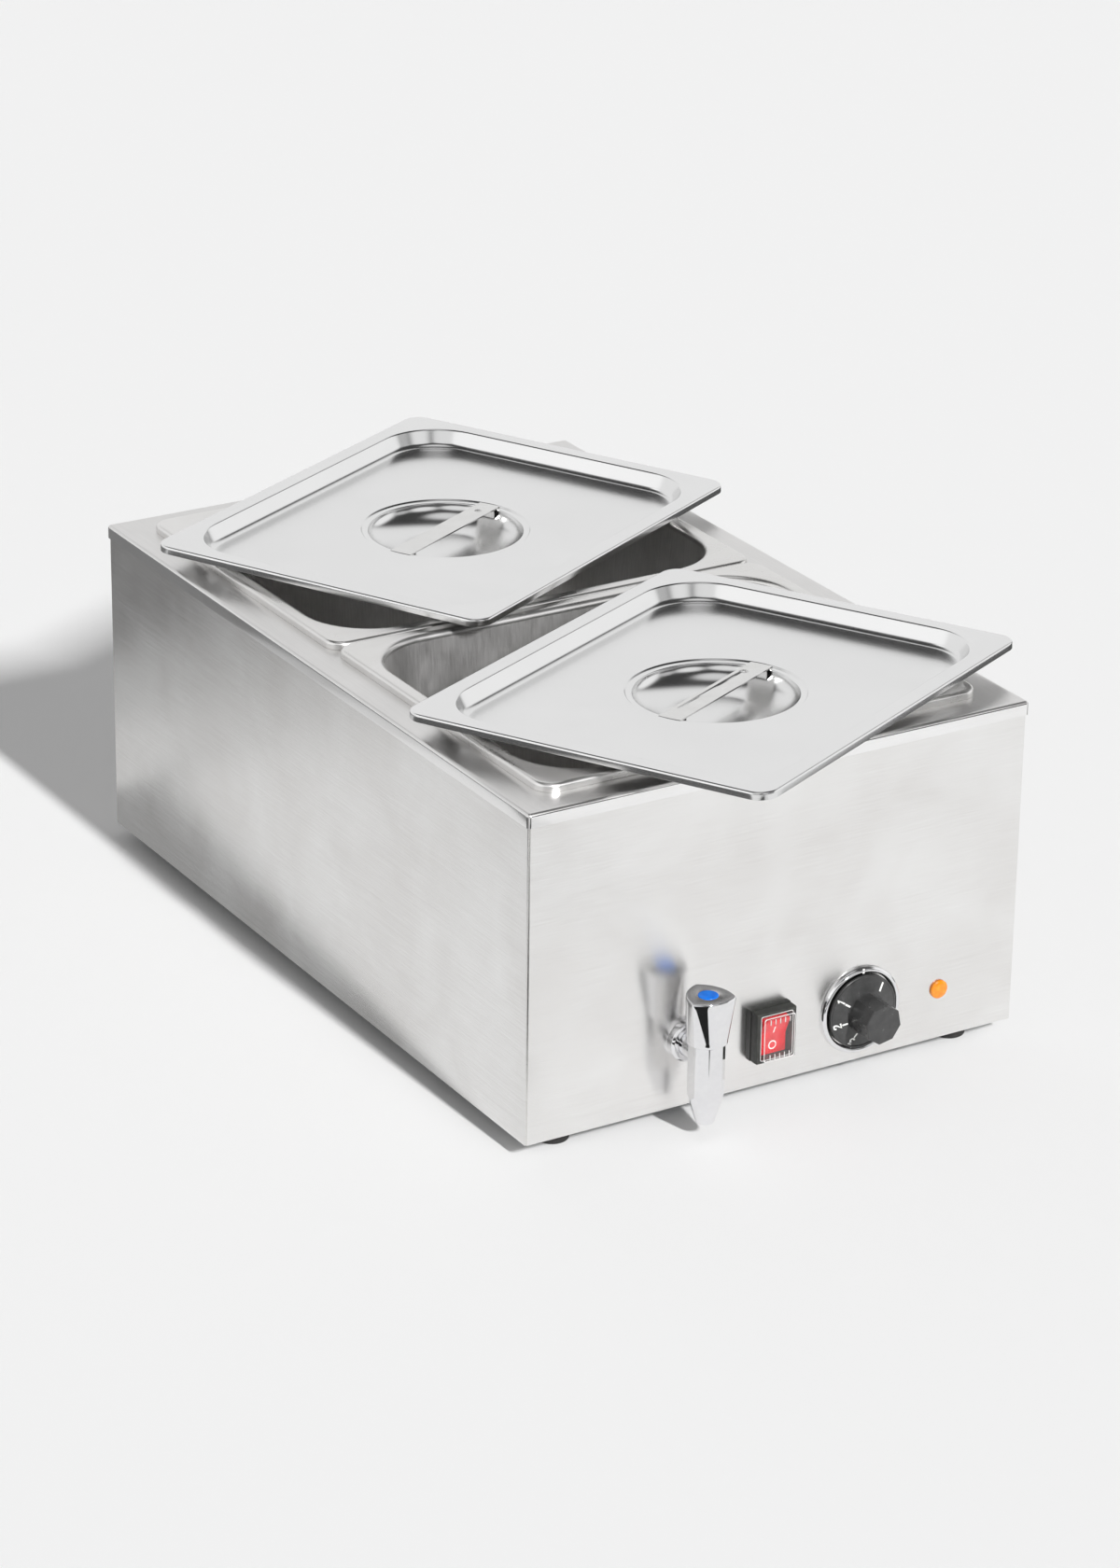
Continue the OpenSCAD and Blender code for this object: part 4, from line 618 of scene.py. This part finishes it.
# The handle's wall runs straight from each point of its round foot to the point of the plan
# that faces the same way
def tapHandlePart(s):
    facing = evenAngles(240)
    footZ = s["top"] + s["footGap"]
    circle = unitVectors(facing)
    rows = []

    def add(plan, z):
        rows.append(np.concatenate([plan, np.full((len(plan), 1), z)], axis=1))

    for r, z in ((5, footZ), (s["foot"] - 0.6, footZ), (s["foot"] - 0.2, footZ + 0.15),
                 (s["foot"], footZ + 0.6)):
        add(circle * r, z)
    wallFoot, wallTop = footZ + s["footHigh"], s["handleTop"] - s["bevel"]
    crown = lobePlan(s, facing, 0)
    for u in np.linspace(0, 1, 14):
        add(circle * s["foot"] * (1 - u) + crown * u, wallFoot + (wallTop - wallFoot) * u)
    for a in np.linspace(0.25, pi / 2, 5):
        add(lobePlan(s, facing, s["bevel"] * (1 - cos(a))), wallTop + s["bevel"] * sin(a))
    top = lobePlan(s, facing, s["bevel"])
    add(top * 0.9, s["handleTop"])
    seat = s["cap"] + 0.05
    add(circle * (seat + 0.5), s["handleTop"])
    add(circle * seat, s["handleTop"] - 0.15)
    add(circle * seat, s["handleTop"] - s["capSink"])
    add(circle * 2, s["handleTop"] - s["capSink"])
    points, faces = ringFaces(np.array(rows), "poles")
    return placed(points, (s["x"], s["y"], 0)), faces


def tapNeckPart(s):
    reach = s["panel"] - s["y"]
    profile = [(s["bore"], 4), (s["neck"] - 0.5, 4), (s["neck"], 4.5), (s["neck"], reach - 1),
               (s["neck"], reach + s["neckIn"]), (s["bore"], reach + s["neckIn"])]
    return turnedPart(profile, 96, (s["x"], s["y"], s["inletZ"]), facingRear, "loop")


def tapCollarPart(s):
    high, bevel, hole = s["collarThick"], s["collarBevel"], s["neck"] + 0.05
    profile = roundCorners([(hole, 0.6), (hole, 0), (s["collar"], 0), (s["collar"], high - bevel),
                            (s["collar"] - bevel, high), (hole, high), (hole, high - 0.6)],
                           [0, 0.3, 0.8, 0.8, 0.2], 5)
    return turnedPart(profile, 96, (s["x"], s["panel"], s["inletZ"]), facingFront, "loop")


def capPart(s):
    rise = s["capHigh"] - s["capSink"]
    profile = [(3, 0), (s["cap"] - 0.2, 0), (s["cap"], 0.2)]
    profile += [(max(s["cap"] * cos(a), 0.5), s["capSink"] + rise * sin(a))
                for a in np.linspace(0, pi / 2, 12)]
    return turnedPart(profile, 64, (s["x"], s["y"], s["handleTop"] - s["capSink"]))


solidPiece("octagonTapBody", [tapBodyPart(tapSizes), tapNeckPart(tapSizes)], chromePlate, "base",
           ["tap_body"], 25)
solidPiece("turnedTapCollar", [tapCollarPart(tapSizes)], chromePlate, "base", ["tap_collar"])
solidPiece("threeLobeTapHandle", [tapHandlePart(tapSizes)], chromePlate, "tap_valve",
           ["tap_handle"], 40)
solidPiece("domedBlueCap", [capPart(tapSizes)], capBlue, "tap_valve", ["tap_index_cap"])
print("tap made")

# Thermostat knob, in mm
knobSizes = {
    "x": 63.3, "z": 47.5, "panel": -285.4, "bezelOut": 30, "bezelIn": 25.6, "bezelHigh": 3.6, "dial": 25,
    "dialBack": 2.6, "rim": 1.8, "lip": 0.8, "dialFace": 7.6, "grip": 13.5, "gripFront": 28,
    "gripTurn": 11.4, "gripEdge": 0.7, "shaft": 3.0, "bore": 16.5, "firstNumber": 149, "numberPitch": 48,
    "numberAt": 20.9, "numberHigh": 4.6, "tick": (14.6, 17.4), "offAngle": 50, "offTick": (17, 22),
    "stroke": 1.15, "offStroke": 1.4375, "ink": 0.06, "eased": 0.6, "markLong": 2.2, "markWide": 1.5}

# The stroke of each number from 1 to 5, as shares of its height from its middle
numberStrokes = (
    [(-0.16, 0.26), (0.06, 0.5), (0.06, -0.5)],
    [(-0.28, 0.26), (-0.2, 0.43), (0, 0.5), (0.2, 0.43), (0.28, 0.25), (0.2, 0.02), (-0.3, -0.5),
     (0.32, -0.5)],
    [(-0.26, 0.5), (0.26, 0.5), (-0.02, 0.08), (0.2, 0.02), (0.28, -0.2), (0.16, -0.44), (-0.06, -0.5),
     (-0.28, -0.38)],
    [(0.14, -0.5), (0.14, 0.5), (-0.3, -0.22), (0.32, -0.22)],
    [(0.26, 0.5), (-0.2, 0.5), (-0.24, 0.06), (0.04, 0.12), (0.26, -0.06), (0.26, -0.3), (0.06, -0.5),
     (-0.26, -0.42)])


# Polyline as a thin printed bar: each point carries a four-sided ring, its half width square
# to the run, from a little below the surface to a little above it
def inkStroke(line, width, height, surface):
    p = np.array(line, float)
    run = np.diff(p, axis=0)
    run /= np.linalg.norm(run, axis=1)[:, None]
    heading = np.concatenate([run[:1], run[:-1] + run[1:], run[-1:]])
    heading /= np.linalg.norm(heading, axis=1)[:, None]
    ends = np.concatenate([p[:1] - run[:1] * width / 3, p[1:-1], p[-1:] + run[-1:] * width / 3])
    side = np.stack([-heading[:, 1], heading[:, 0]], axis=1) * width / 2
    left, right = ends + side, ends - side
    corners = ((left, -height), (left, height), (right, height), (right, -height))
    ring = np.stack([np.column_stack([q, surface(q) + lift]) for q, lift in corners], axis=1)
    return ringFaces(ring, "poles")


def dialHeight(points):  # the dial's cone falls evenly from the grip to its rim
    s = knobSizes
    r0, r1 = s["grip"] + s["lip"], s["dial"] - 2 * s["lip"]
    r = np.linalg.norm(points, axis=1)
    return s["dialFace"] - (r - r0) * (s["dialFace"] - s["dialBack"] - s["rim"]) / (r1 - r0)


def dialMarks(s):
    parts, high = [], s["numberHigh"]
    for k, stroke in enumerate(numberStrokes):
        out = unitVectors(radians(s["firstNumber"] + k * s["numberPitch"]))
        side = np.array([out[1], -out[0]])
        line = [out * (s["numberAt"] + y * high) + side * x * high for x, y in stroke]
        parts += [inkStroke(line, s["stroke"], s["ink"], dialHeight),
                  inkStroke([out * r for r in s["tick"]], s["stroke"], s["ink"], dialHeight)]
    off = unitVectors(radians(s["offAngle"]))
    parts.append(inkStroke([off * r for r in s["offTick"]], s["offStroke"], s["ink"], dialHeight))
    return onPanel(s, parts)


# Octagon loops with corners eased by a small radius, from the dial out to the grip's front
def gripPart(s):
    steps, n, ease = 4, 8, s["eased"]
    apothem = s["grip"] * cos(pi / n)
    t = np.linspace(-pi / n, pi / n, steps + 1)
    corners = radians(-s["gripTurn"]) + np.arange(n) * 2 * pi / n
    directions = corners[:, None] + t[None, :]

    def loop(inset, z):
        centre = (apothem - inset - ease) / cos(pi / n)
        x = centre * np.cos(corners)[:, None] + ease * np.cos(directions)
        y = centre * np.sin(corners)[:, None] + ease * np.sin(directions)
        return np.stack([x.ravel(), y.ravel(), np.full(x.size, z)], axis=1)

    edge, base, front = s["gripEdge"], s["dialFace"] - s["lip"], s["gripFront"]
    rows = [loop(6, base), loop(0, base), loop(0, s["dialFace"] + 0.5), loop(0, front - edge - 0.8)]
    rows += [loop(edge * (1 - cos(a)), front - edge + edge * sin(a)) for a in np.linspace(0, pi / 2, 5)]
    rows += [loop(edge + 0.8, front), loop(edge + 5, front)]
    return ringFaces(np.array(rows), "poles")


def dialPart(s):
    back, rim, hole = s["dialBack"], s["dialBack"] + s["rim"], s["shaft"] + 0.05
    profile = roundCorners([(hole, s["bore"]), (hole, back), (s["dial"], back), (s["dial"], rim),
                            (s["dial"] - s["lip"], rim + s["lip"] / 2), (s["dial"] - 2 * s["lip"], rim),
                            (s["grip"] + s["lip"], s["dialFace"]), (5, s["dialFace"] + 0.02)],
                           [0.1, 0.3, 0.35, 0.3, 0.4, 0.6], 4)
    return turnedPart(profile, 128)


# The bezel is half a ring in section, with one short white mark on its crest
def bezelPart(s):
    half = (s["bezelOut"] - s["bezelIn"]) / 2
    arc = [(s["bezelIn"] + half * (1 + cos(a)), s["bezelHigh"] * sin(a))
           for a in np.linspace(0, pi, 19)]
    return turnedPart(arc, 128, ends="loop")


def bezelMark(s):
    crest = (s["bezelIn"] + s["bezelOut"]) / 2
    ends = [(0, crest - s["markLong"] / 2), (0, crest + s["markLong"] / 2)]
    return inkStroke(ends, s["markWide"], 2 * s["ink"], lambda q: np.full(len(q), s["bezelHigh"] - 0.22))


solidPiece("ridgedControlKnob", onPanel(knobSizes, [dialPart(knobSizes), gripPart(knobSizes)]), knobPlastic,
           "knob", ["control_knob"], 30)
solidPiece("dialPrint", dialMarks(knobSizes), printInk, "knob")
solidPiece("chromeBezel", onPanel(knobSizes, [bezelPart(knobSizes)]), chromePlate, "base",
           ["dial_bezel"])
# A short white mark on the bezel's crest, in the same white as the print
solidPiece("bezelWhiteMark", onPanel(knobSizes, [bezelMark(knobSizes)]), printInk, "base")
print("knob made")

# Rocker switch, in mm
switchSizes = {
    "x": -6.3, "z": 49.5, "panel": -285.4, "width": 30, "height": 35.5, "out": 10, "flange": 2.5,
    "groove": 0.8, "grooveIn": 0.7, "bodyIn": 0.3, "windowW": 22.5, "windowH": 29.5, "edge": 0.7,
    "coverOut": 4, "coverWall": 0.8, "coverBend": 1.2, "ribs": 5, "ribPitch": 3.6, "ribWide": 0.55,
    "ribLong": 3.6, "ribHigh": 0.4, "rockerW": 20, "tilt": 11, "pivotIn": 3, "face": 5.5, "gap": 0.27,
    "hub": 3, "rockerEdge": 0.45, "ringRadius": 2.6, "ringDown": 6.6, "ringWide": 0.75, "barFrom": 2.6,
    "barTo": 7.4, "barWide": 0.85, "ink": 0.07}


# Rows up the flange, the groove and the body's eased edge, then down the window
def framePart(s):
    out, edge, inset, step = s["out"], s["edge"], s["bodyIn"], s["flange"] + s["groove"]
    line = [(0, 0, 0.4), (0, s["flange"] - 0.25, 0.4), (0.25, s["flange"], 0.4),
            (s["grooveIn"], s["flange"], 0.4), (s["grooveIn"], step, 0.4), (inset + 0.2, step, 0.4),
            (inset, step + 0.2, 0.5), (inset, out - edge, 0.7)]
    line += [(inset + edge * (1 - cos(a)), out - edge * (1 - sin(a)), 0.9)
             for a in np.linspace(0.3, pi / 2, 4)] + [(inset + edge + 0.3, out, 0.9)]
    window = [(-0.5, out, 0.5), (-0.15, out, 0.4), (0, out - 0.3, 0.3), (0, 0, 0.3)]
    rows = insetRows(s["width"], s["height"], line) + insetRows(s["windowW"], s["windowH"], window)
    return ringFaces(rectangleRings(loopShares(2, 5), rows), "loop")


def coverPart(s):
    t, back, front, bend = s["coverWall"], s["out"], s["out"] + s["coverOut"], s["coverBend"]
    under = front - t
    line = [(0.6, under, 0.9), (0.35, under - 0.1, 1), (0.1, under - 0.3, 1), (0, under - 0.6, 1),
            (0, back, 1), (-t, back, 1.6), (-t, front - bend, 1.6)]
    line += [(bend * (1 - cos(a)) - t, front - bend * (1 - sin(a)), 1.6) for a in np.linspace(0.3, pi / 2, 5)]
    line += [(1.5 * bend - t, front, 1.4)]
    rows = [(8, 14, 1, under), *insetRows(s["windowW"], s["windowH"], line), (8, 14, 1, front)]
    return ringFaces(rectangleRings(loopShares(4, 6), rows), "poles")


# Short ribs stand on the cover's front, a row at each end
def coverRibs(s):
    wide, long, front = s["ribWide"], s["ribLong"], s["out"] + s["coverOut"]
    rows = [(wide, long, 0.2, front - 0.2), (wide, long, 0.2, front + 0.15),
            (wide - 0.3, long - 0.3, 0.15, front + s["ribHigh"])]
    points, faces = ringFaces(rectangleRings(loopShares(2, 3), rows), "poles")
    x, y = s["ribPitch"], (s["windowH"] - long) / 2 - 0.8
    return [(placed(points, ((k - (s["ribs"] - 1) / 2) * x, side * y, 0)), faces)
            for k in range(s["ribs"]) for side in (-1, 1)]


# The rocker's side outline, carried from one side to the other. Towards both ends it is drawn
# in to its middle, which eases the edges
def rockerPart(s):
    t = radians(s["tilt"])
    d0, reach = s["face"] + s["pivotIn"], s["windowH"] / 2 - s["gap"]
    c = (reach - d0 * sin(t)) * cos(t)
    tip, foot = (c, d0 + c * tan(t)), (reach * cos(t), reach * sin(t))
    hub, edge, half = s["hub"], s["rockerEdge"], s["rockerW"] / 2
    outline = [(0, d0), tip, foot, (hub, -hub), (-hub, -hub), (-foot[0], foot[1]), (-tip[0], tip[1]), (0, d0)]
    path = roundCorners(outline, [1.6 * edge, 1, 1, 1, 1, 1.6 * edge], 5)[:-1]
    centre = path.mean(0)
    off = path - centre
    rows = []
    for x, inset in ((-half, edge), (-half + 0.12, 0.4 * edge), (-half + edge, 0), (half - edge, 0),
                     (half - 0.12, 0.4 * edge), (half, edge)):
        drawnIn = centre + off * (1 - inset / np.linalg.norm(off, axis=1))[:, None]
        rows.append(np.column_stack([np.full(len(path), x), drawnIn]))
    return np.array(rows)


# From the rocker's own place (x across, y up its face, z out of it) to the row frame
def rockerToRow(points, s):
    t = radians(s["tilt"])
    x, v, o = points[..., 0], points[..., 1], points[..., 2]
    out = o * cos(t) + v * sin(t)
    up = v * cos(t) - o * sin(t)
    return np.stack([s["x"] + x, s["panel"] + s["pivotIn"] - out, s["z"] + up], axis=-1)


# A thin bead that follows the cover's front edge, and one round its foot: painted highlights of the bright
# lines along the cover's edges
def coverHighlightBead(s, out, inset, wide):
    w, h = s["windowW"] + 2 * s["coverWall"] - 2 * inset, s["windowH"] + 2 * s["coverWall"] - 2 * inset
    rows = [(w + wide * cos(a), h + wide * cos(a), 1.4, out + wide / 2 * sin(a))
            for a in evenAngles(8)]
    return ringFaces(rectangleRings(loopShares(4, 6), rows), "loop")


# The rocker's two faces fall from its ends to its middle, so a mark's height follows its place
def rockerFace(points):
    s = switchSizes
    return s["face"] + s["pivotIn"] + np.abs(points[:, 1]) * tan(radians(s["tilt"])) - 0.02


# The rocker's marks: a round O below its middle and an upright I above it
def rockerMarks(s):
    ring = s["ringRadius"] * unitVectors(evenAngles(28)) - np.array([0, s["ringDown"]])
    marks = [inkStroke(np.concatenate([ring, ring[:1]]), s["ringWide"], s["ink"], rockerFace),
             inkStroke([(0.0, s["barFrom"]), (0.0, s["barTo"])], s["barWide"], s["ink"], rockerFace)]
    return [(rockerToRow(points, s), faces) for points, faces in marks]


def buildSwitch(s):
    solidPiece("groovedSwitchFrame", onPanel(s, [framePart(s)]), nylonBlack, "base",
               ["switch_frame"], 25)
    solidPiece("clearSwitchCover", onPanel(s, [coverPart(s)]), clearCover, "base",
               ["switch_cover"])
    # The ribs and the beads take the cover's painted edge highlight
    highlightBeads = [coverHighlightBead(s, s["out"] + s["coverOut"] - 0.55, 0.75, 0.5),
             coverHighlightBead(s, s["out"] + 0.2, 0.15, 0.4)]
    solidPiece("coverRibsAndEdgeHighlights", onPanel(s, coverRibs(s) + highlightBeads), coverEdgeHighlight, "base")
    points, faces = ringFaces(rockerToRow(rockerPart(s), s), "poles")
    solidPiece("redRocker", [(points, faces)], rockerRed, "rocker", ["switch_rocker"], 25)
    solidPiece("rockerPrint", rockerMarks(s), printInk, "rocker")


buildSwitch(switchSizes)
print("switch made")

# Pilot lamp, in mm
lampSizes = {
    "x": 124.9, "z": 47, "panel": -285.4, "lens": 6.35, "out": 2.8, "edge": 1, "stem": 3.95, "stemLong": 8}


def lensPart(s):
    profile = [(1.5, -s["stemLong"]), (s["stem"], -s["stemLong"]), (s["stem"], 0), (s["lens"] - 0.2, 0),
               (s["lens"], 0.2), (s["lens"], s["edge"] - 0.2)]
    profile += [(max(s["lens"] * cos(a), 0.4), s["edge"] + (s["out"] - s["edge"]) * sin(a))
                for a in np.linspace(0.12, pi / 2, 12)]
    return turnedPart(profile, 64)


solidPiece("amberLampLens", onPanel(lampSizes, [lensPart(lampSizes)]), amberLens, "base",
           ["lamp_lens"])

# Feet, in mm
footSizes = {
    "x": 151, "y": 262.5, "foot": 11, "top": 10, "high": 13, "sink": 6, "headHole": 4.95, "screwHole": 2.65}


def footPart(s, sideX, sideY):
    hole, high, sink = s["screwHole"], s["high"], s["sink"]
    profile = roundCorners([(hole, high - 1), (hole, high), (s["top"], high), (s["foot"], 0),
                            (s["headHole"], 0), (s["headHole"], sink), (hole, sink)],
                           [0, 0.4, 1.2, 0.6, 0], 4)
    return turnedPart(profile, 48, (sideX * s["x"], sideY * s["y"], 0), None, "loop")


solidPiece("rubberFeet", [footPart(footSizes, x, y) for x in (-1, 1) for y in (-1, 1)], footRubber, "base",
           ["feet"])

# Cable gland, in mm
glandSizes = {
    "x": 120, "z": 45, "rear": 285.4, "thread": 10, "inside": 10, "flats": 24, "hexHigh": 6, "domeHigh": 12,
    "base": 11, "tip": 7.5, "bore": 5, "ribs": 14, "ribDeep": 0.35, "ease": 0.4}


# Reach of the gland by height: thread, six-sided collar, then a ribbed dome that closes on the
# bore. Between the ribs the reach dips by a cosine
def glandPart(s):
    angles, ease = evenAngles(168), s["ease"]
    hexReach = np.minimum(s["flats"] / 2 / np.cos((angles + pi / 6) % (pi / 3) - pi / 6),
                          s["flats"] / 2 / cos(pi / 6) - ease)
    dip = s["ribDeep"] * (0.5 - 0.5 * np.cos(angles * s["ribs"]))
    domeTop = s["hexHigh"] + s["domeHigh"]
    rows = [(s["bore"], -s["inside"]), (s["thread"] - ease, -s["inside"]), (s["thread"], 0.5 - s["inside"]),
            (s["thread"], 0), (hexReach - ease, 0), (hexReach, ease), (hexReach, s["hexHigh"] - 0.5),
            (np.minimum(hexReach, s["flats"] / 2 + 0.5) - 0.3, s["hexHigh"]), (s["base"] + 0.1, s["hexHigh"])]
    for u in np.linspace(0.03, 1, 12):
        reach = s["base"] + (s["tip"] - s["base"]) * u - 3 * max(0, u - 0.9)
        rows.append((reach - dip * min(1, 6 * u, 6 * (1.02 - u)), s["hexHigh"] + s["domeHigh"] * u))
    rows += [(s["bore"] + 0.5, domeTop), (s["bore"], domeTop - 0.5)]
    points, faces = ringFaces(circleRings(angles, rows), "loop")
    return placed(points, (s["x"], s["rear"], s["z"]), facingRear), faces


solidPiece("ribbedCableGland", [glandPart(glandSizes)], nylonBlack, "base",
           ["cable_gland"], 30)
print("lamp, feet and gland made")

# Stage, light and camera, in metres and degrees
stageSizes = {
    "pale": "#f2f2f2", "floor": 40, "sunUp": (32.2, 33.6, 35, 36.4, 37.8), "sunAside": 1.5, "sunSoft": 1.9,
    "sunPower": 0.672, "fill": 0.38, "room": 0.05, "cameraAt": (-1.5545, -2.5794, 1.4094),
    "azimuth": 31.248, "elevation": 23.344, "roll": 0.817, "focal": 111.8}
# White walls and light banks of the studio as reflections see them: azimuth from the rear
# towards +X, elevation, half angle of the full tone, half angle where it ends, tone
studioBanks = (
    (33, 17, 32, 46, 0.90), (-30, 12, 26, 38, 0.9), (-86, 22, 24, 36, 1.1), (102, 9, 20, 32, 1.0),
    (-49, 43, 5, 12, 1.2), (0, 90, 9, 20, 0.75), (-132, 34, 15, 28, 0.85), (172, 36, 10, 24, 0.9),
    (135, 30, 4, 16, 0.55))
# Dark places on the floor as reflections see them, the shaded strip along the left as painted shade: span in
# x, span in y, tone, and the span in x of the near end where it differs
shadeAndDarkPlaces = (
    ((-0.56, -0.26), (-0.30, 0.36), 0.76, (-0.56, -0.19)),  # painted shade: the shaded strip along the left
    ((-4, -0.19), (0.36, 0.47), 0.62, None),  # the white table ends behind the object
    ((-4, -0.19), (0.47, 0.60), 0.46, None),
    ((-4, -0.19), (0.60, 6), 0.19, None),
    ((-0.26, -0.186), (-0.24, 0.36), 0.30, (-0.19, -0.186)),  # painted shade: the strip's darkest part, by the wall
    ((-4, -0.56), (-0.60, 0.36), 0.10, None),  # the table ends on the left
    ((0.44, 4), (-0.42, 0.60), 0.10, None),  # and on the right
    ((-0.42, -0.108), (-1.5, -0.405), 0.02, None),  # the camera's stand
    ((-0.12, 0.10), (-1.5, -0.60), 0.72, None))


# A level card; nearX gives its front edge a span of its own
def flatCard(name, x, y, z, material, nearX=None):
    near = nearX or x
    mesh = bpy.data.meshes.new(name)
    corners = [(near[0], y[0], z), (near[1], y[0], z), (x[1], y[1], z), (x[0], y[1], z)]
    mesh.from_pydata(corners, [], [(0, 1, 2, 3)])
    mesh.materials.append(material)
    return newObject(name, mesh)


floorMaterial = bpy.data.materials.new("paleMattFloor")
floorMaterial.use_nodes = True
floorShader = floorMaterial.node_tree.nodes["Principled BSDF"]
floorShader.inputs["Base Color"].default_value = linear(stageSizes["pale"])
floorShader.inputs["Roughness"].default_value = 1
floorShader.inputs["Specular IOR Level"].default_value = 0
half = stageSizes["floor"] / 2
floor = flatCard("studioFloor", (-half, half), (-half, half), 0, floorMaterial)

# Cards that only reflections see stand for the dark places; those for the shaded strip are painted shade
for i, (spanX, spanY, level, nearX) in enumerate(shadeAndDarkPlaces):
    darkMaterial = bpy.data.materials.new(f"darkSheet{i}")
    darkMaterial.use_nodes = True
    darkTree = darkMaterial.node_tree
    darkTree.nodes.clear()
    darkTone = addNode(darkTree, "ShaderNodeEmission", {"Color": (1, 1, 1, 1), "Strength": level})
    addNode(darkTree, "ShaderNodeOutputMaterial", None, {"Surface": darkTone.outputs[0]})
    sheet = flatCard(f"darkSheet{i}", spanX, spanY, 0.001, darkMaterial, nearX)
    for way in ("camera", "diffuse", "transmission", "shadow", "volume_scatter"):
        setattr(sheet, "visible_" + way, False)

world = bpy.data.worlds.new("softStudio")
bpy.context.scene.world = world
world.use_nodes = True
sky = world.node_tree
sky.nodes.clear()
direction = addNode(sky, "ShaderNodeTexCoord").outputs["Generated"]
tone = None
for turn, rise, full, end, level in studioBanks:
    turn, rise = radians(turn), radians(rise)
    axis = (sin(turn) * cos(rise), cos(turn) * cos(rise), sin(rise))
    aim = addNode(sky, "ShaderNodeVectorMath", {"operation": "DOT_PRODUCT", 1: axis}, {0: direction})
    bank = addNode(sky, "ShaderNodeMapRange",
                   {"interpolation_type": "SMOOTHSTEP", "From Min": cos(radians(end)),
                    "From Max": cos(radians(full)), "To Min": stageSizes["room"], "To Max": level},
                   {"Value": aim.outputs["Value"]}).outputs[0]
    tone = bank if tone is None else addNode(sky, "ShaderNodeMath", {"operation": "MAXIMUM"},
                                             {0: tone, 1: bank}).outputs[0]
paths = addNode(sky, "ShaderNodeLightPath")
paleTone = linear(stageSizes["pale"])[0]
plain = addNode(sky, "ShaderNodeMix", {"data_type": "FLOAT", 2: stageSizes["fill"], 3: paleTone},
                {0: paths.outputs["Is Camera Ray"]})
seen = addNode(sky, "ShaderNodeMix", {"data_type": "FLOAT"},
               {0: paths.outputs["Is Glossy Ray"], 2: plain.outputs[0], 3: tone})
glow = addNode(sky, "ShaderNodeBackground", {"Color": (1, 1, 1, 1)}, {"Strength": seen.outputs[0]})
addNode(sky, "ShaderNodeOutputWorld", None, {"Surface": glow.outputs[0]})

# The brushed walls would throw the key back as bright patches on the floor, and the lids show
# white walls instead of a glint, so the key skips them
keyLit = bpy.data.collections.new("keyLit")
for unlit in (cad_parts["casing_wrap"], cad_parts["front_panel"], *lids):
    keyLit.objects.link(unlit)
for member in keyLit.collection_objects:
    member.light_linking.link_state = "EXCLUDE"

for i, rise in enumerate(stageSizes["sunUp"]):
    sunData = bpy.data.lights.new(f"frontKey{i}", "SUN")
    sunData.energy = stageSizes["sunPower"]
    sunData.angle = radians(stageSizes["sunSoft"])
    sun = newObject(f"frontKey{i}", sunData)
    sun.rotation_euler = (radians(90 - rise), 0, radians(stageSizes["sunAside"]))
    sun.light_linking.receiver_collection = keyLit

az, el, roll = (radians(stageSizes[k]) for k in ("azimuth", "elevation", "roll"))
ahead = np.array([sin(az) * cos(el), cos(az) * cos(el), -sin(el)])
right = np.array([cos(az), -sin(az), 0])
up = np.cross(right, ahead)
across = cos(roll) * right + sin(roll) * up
above = -sin(roll) * right + cos(roll) * up
cameraData = bpy.data.cameras.new("photoCamera")
cameraData.lens = stageSizes["focal"]
cameraData.sensor_width = 36
cameraData.clip_end = 100
camera = newObject("photoCamera", cameraData)
turned = Matrix([[across[i], above[i], -ahead[i]] for i in range(3)]).to_4x4()
turned.translation = stageSizes["cameraAt"]
camera.matrix_world = turned
bpy.context.scene.camera = camera
bpy.context.scene.view_settings.view_transform = "Standard"

print("stage and camera made")
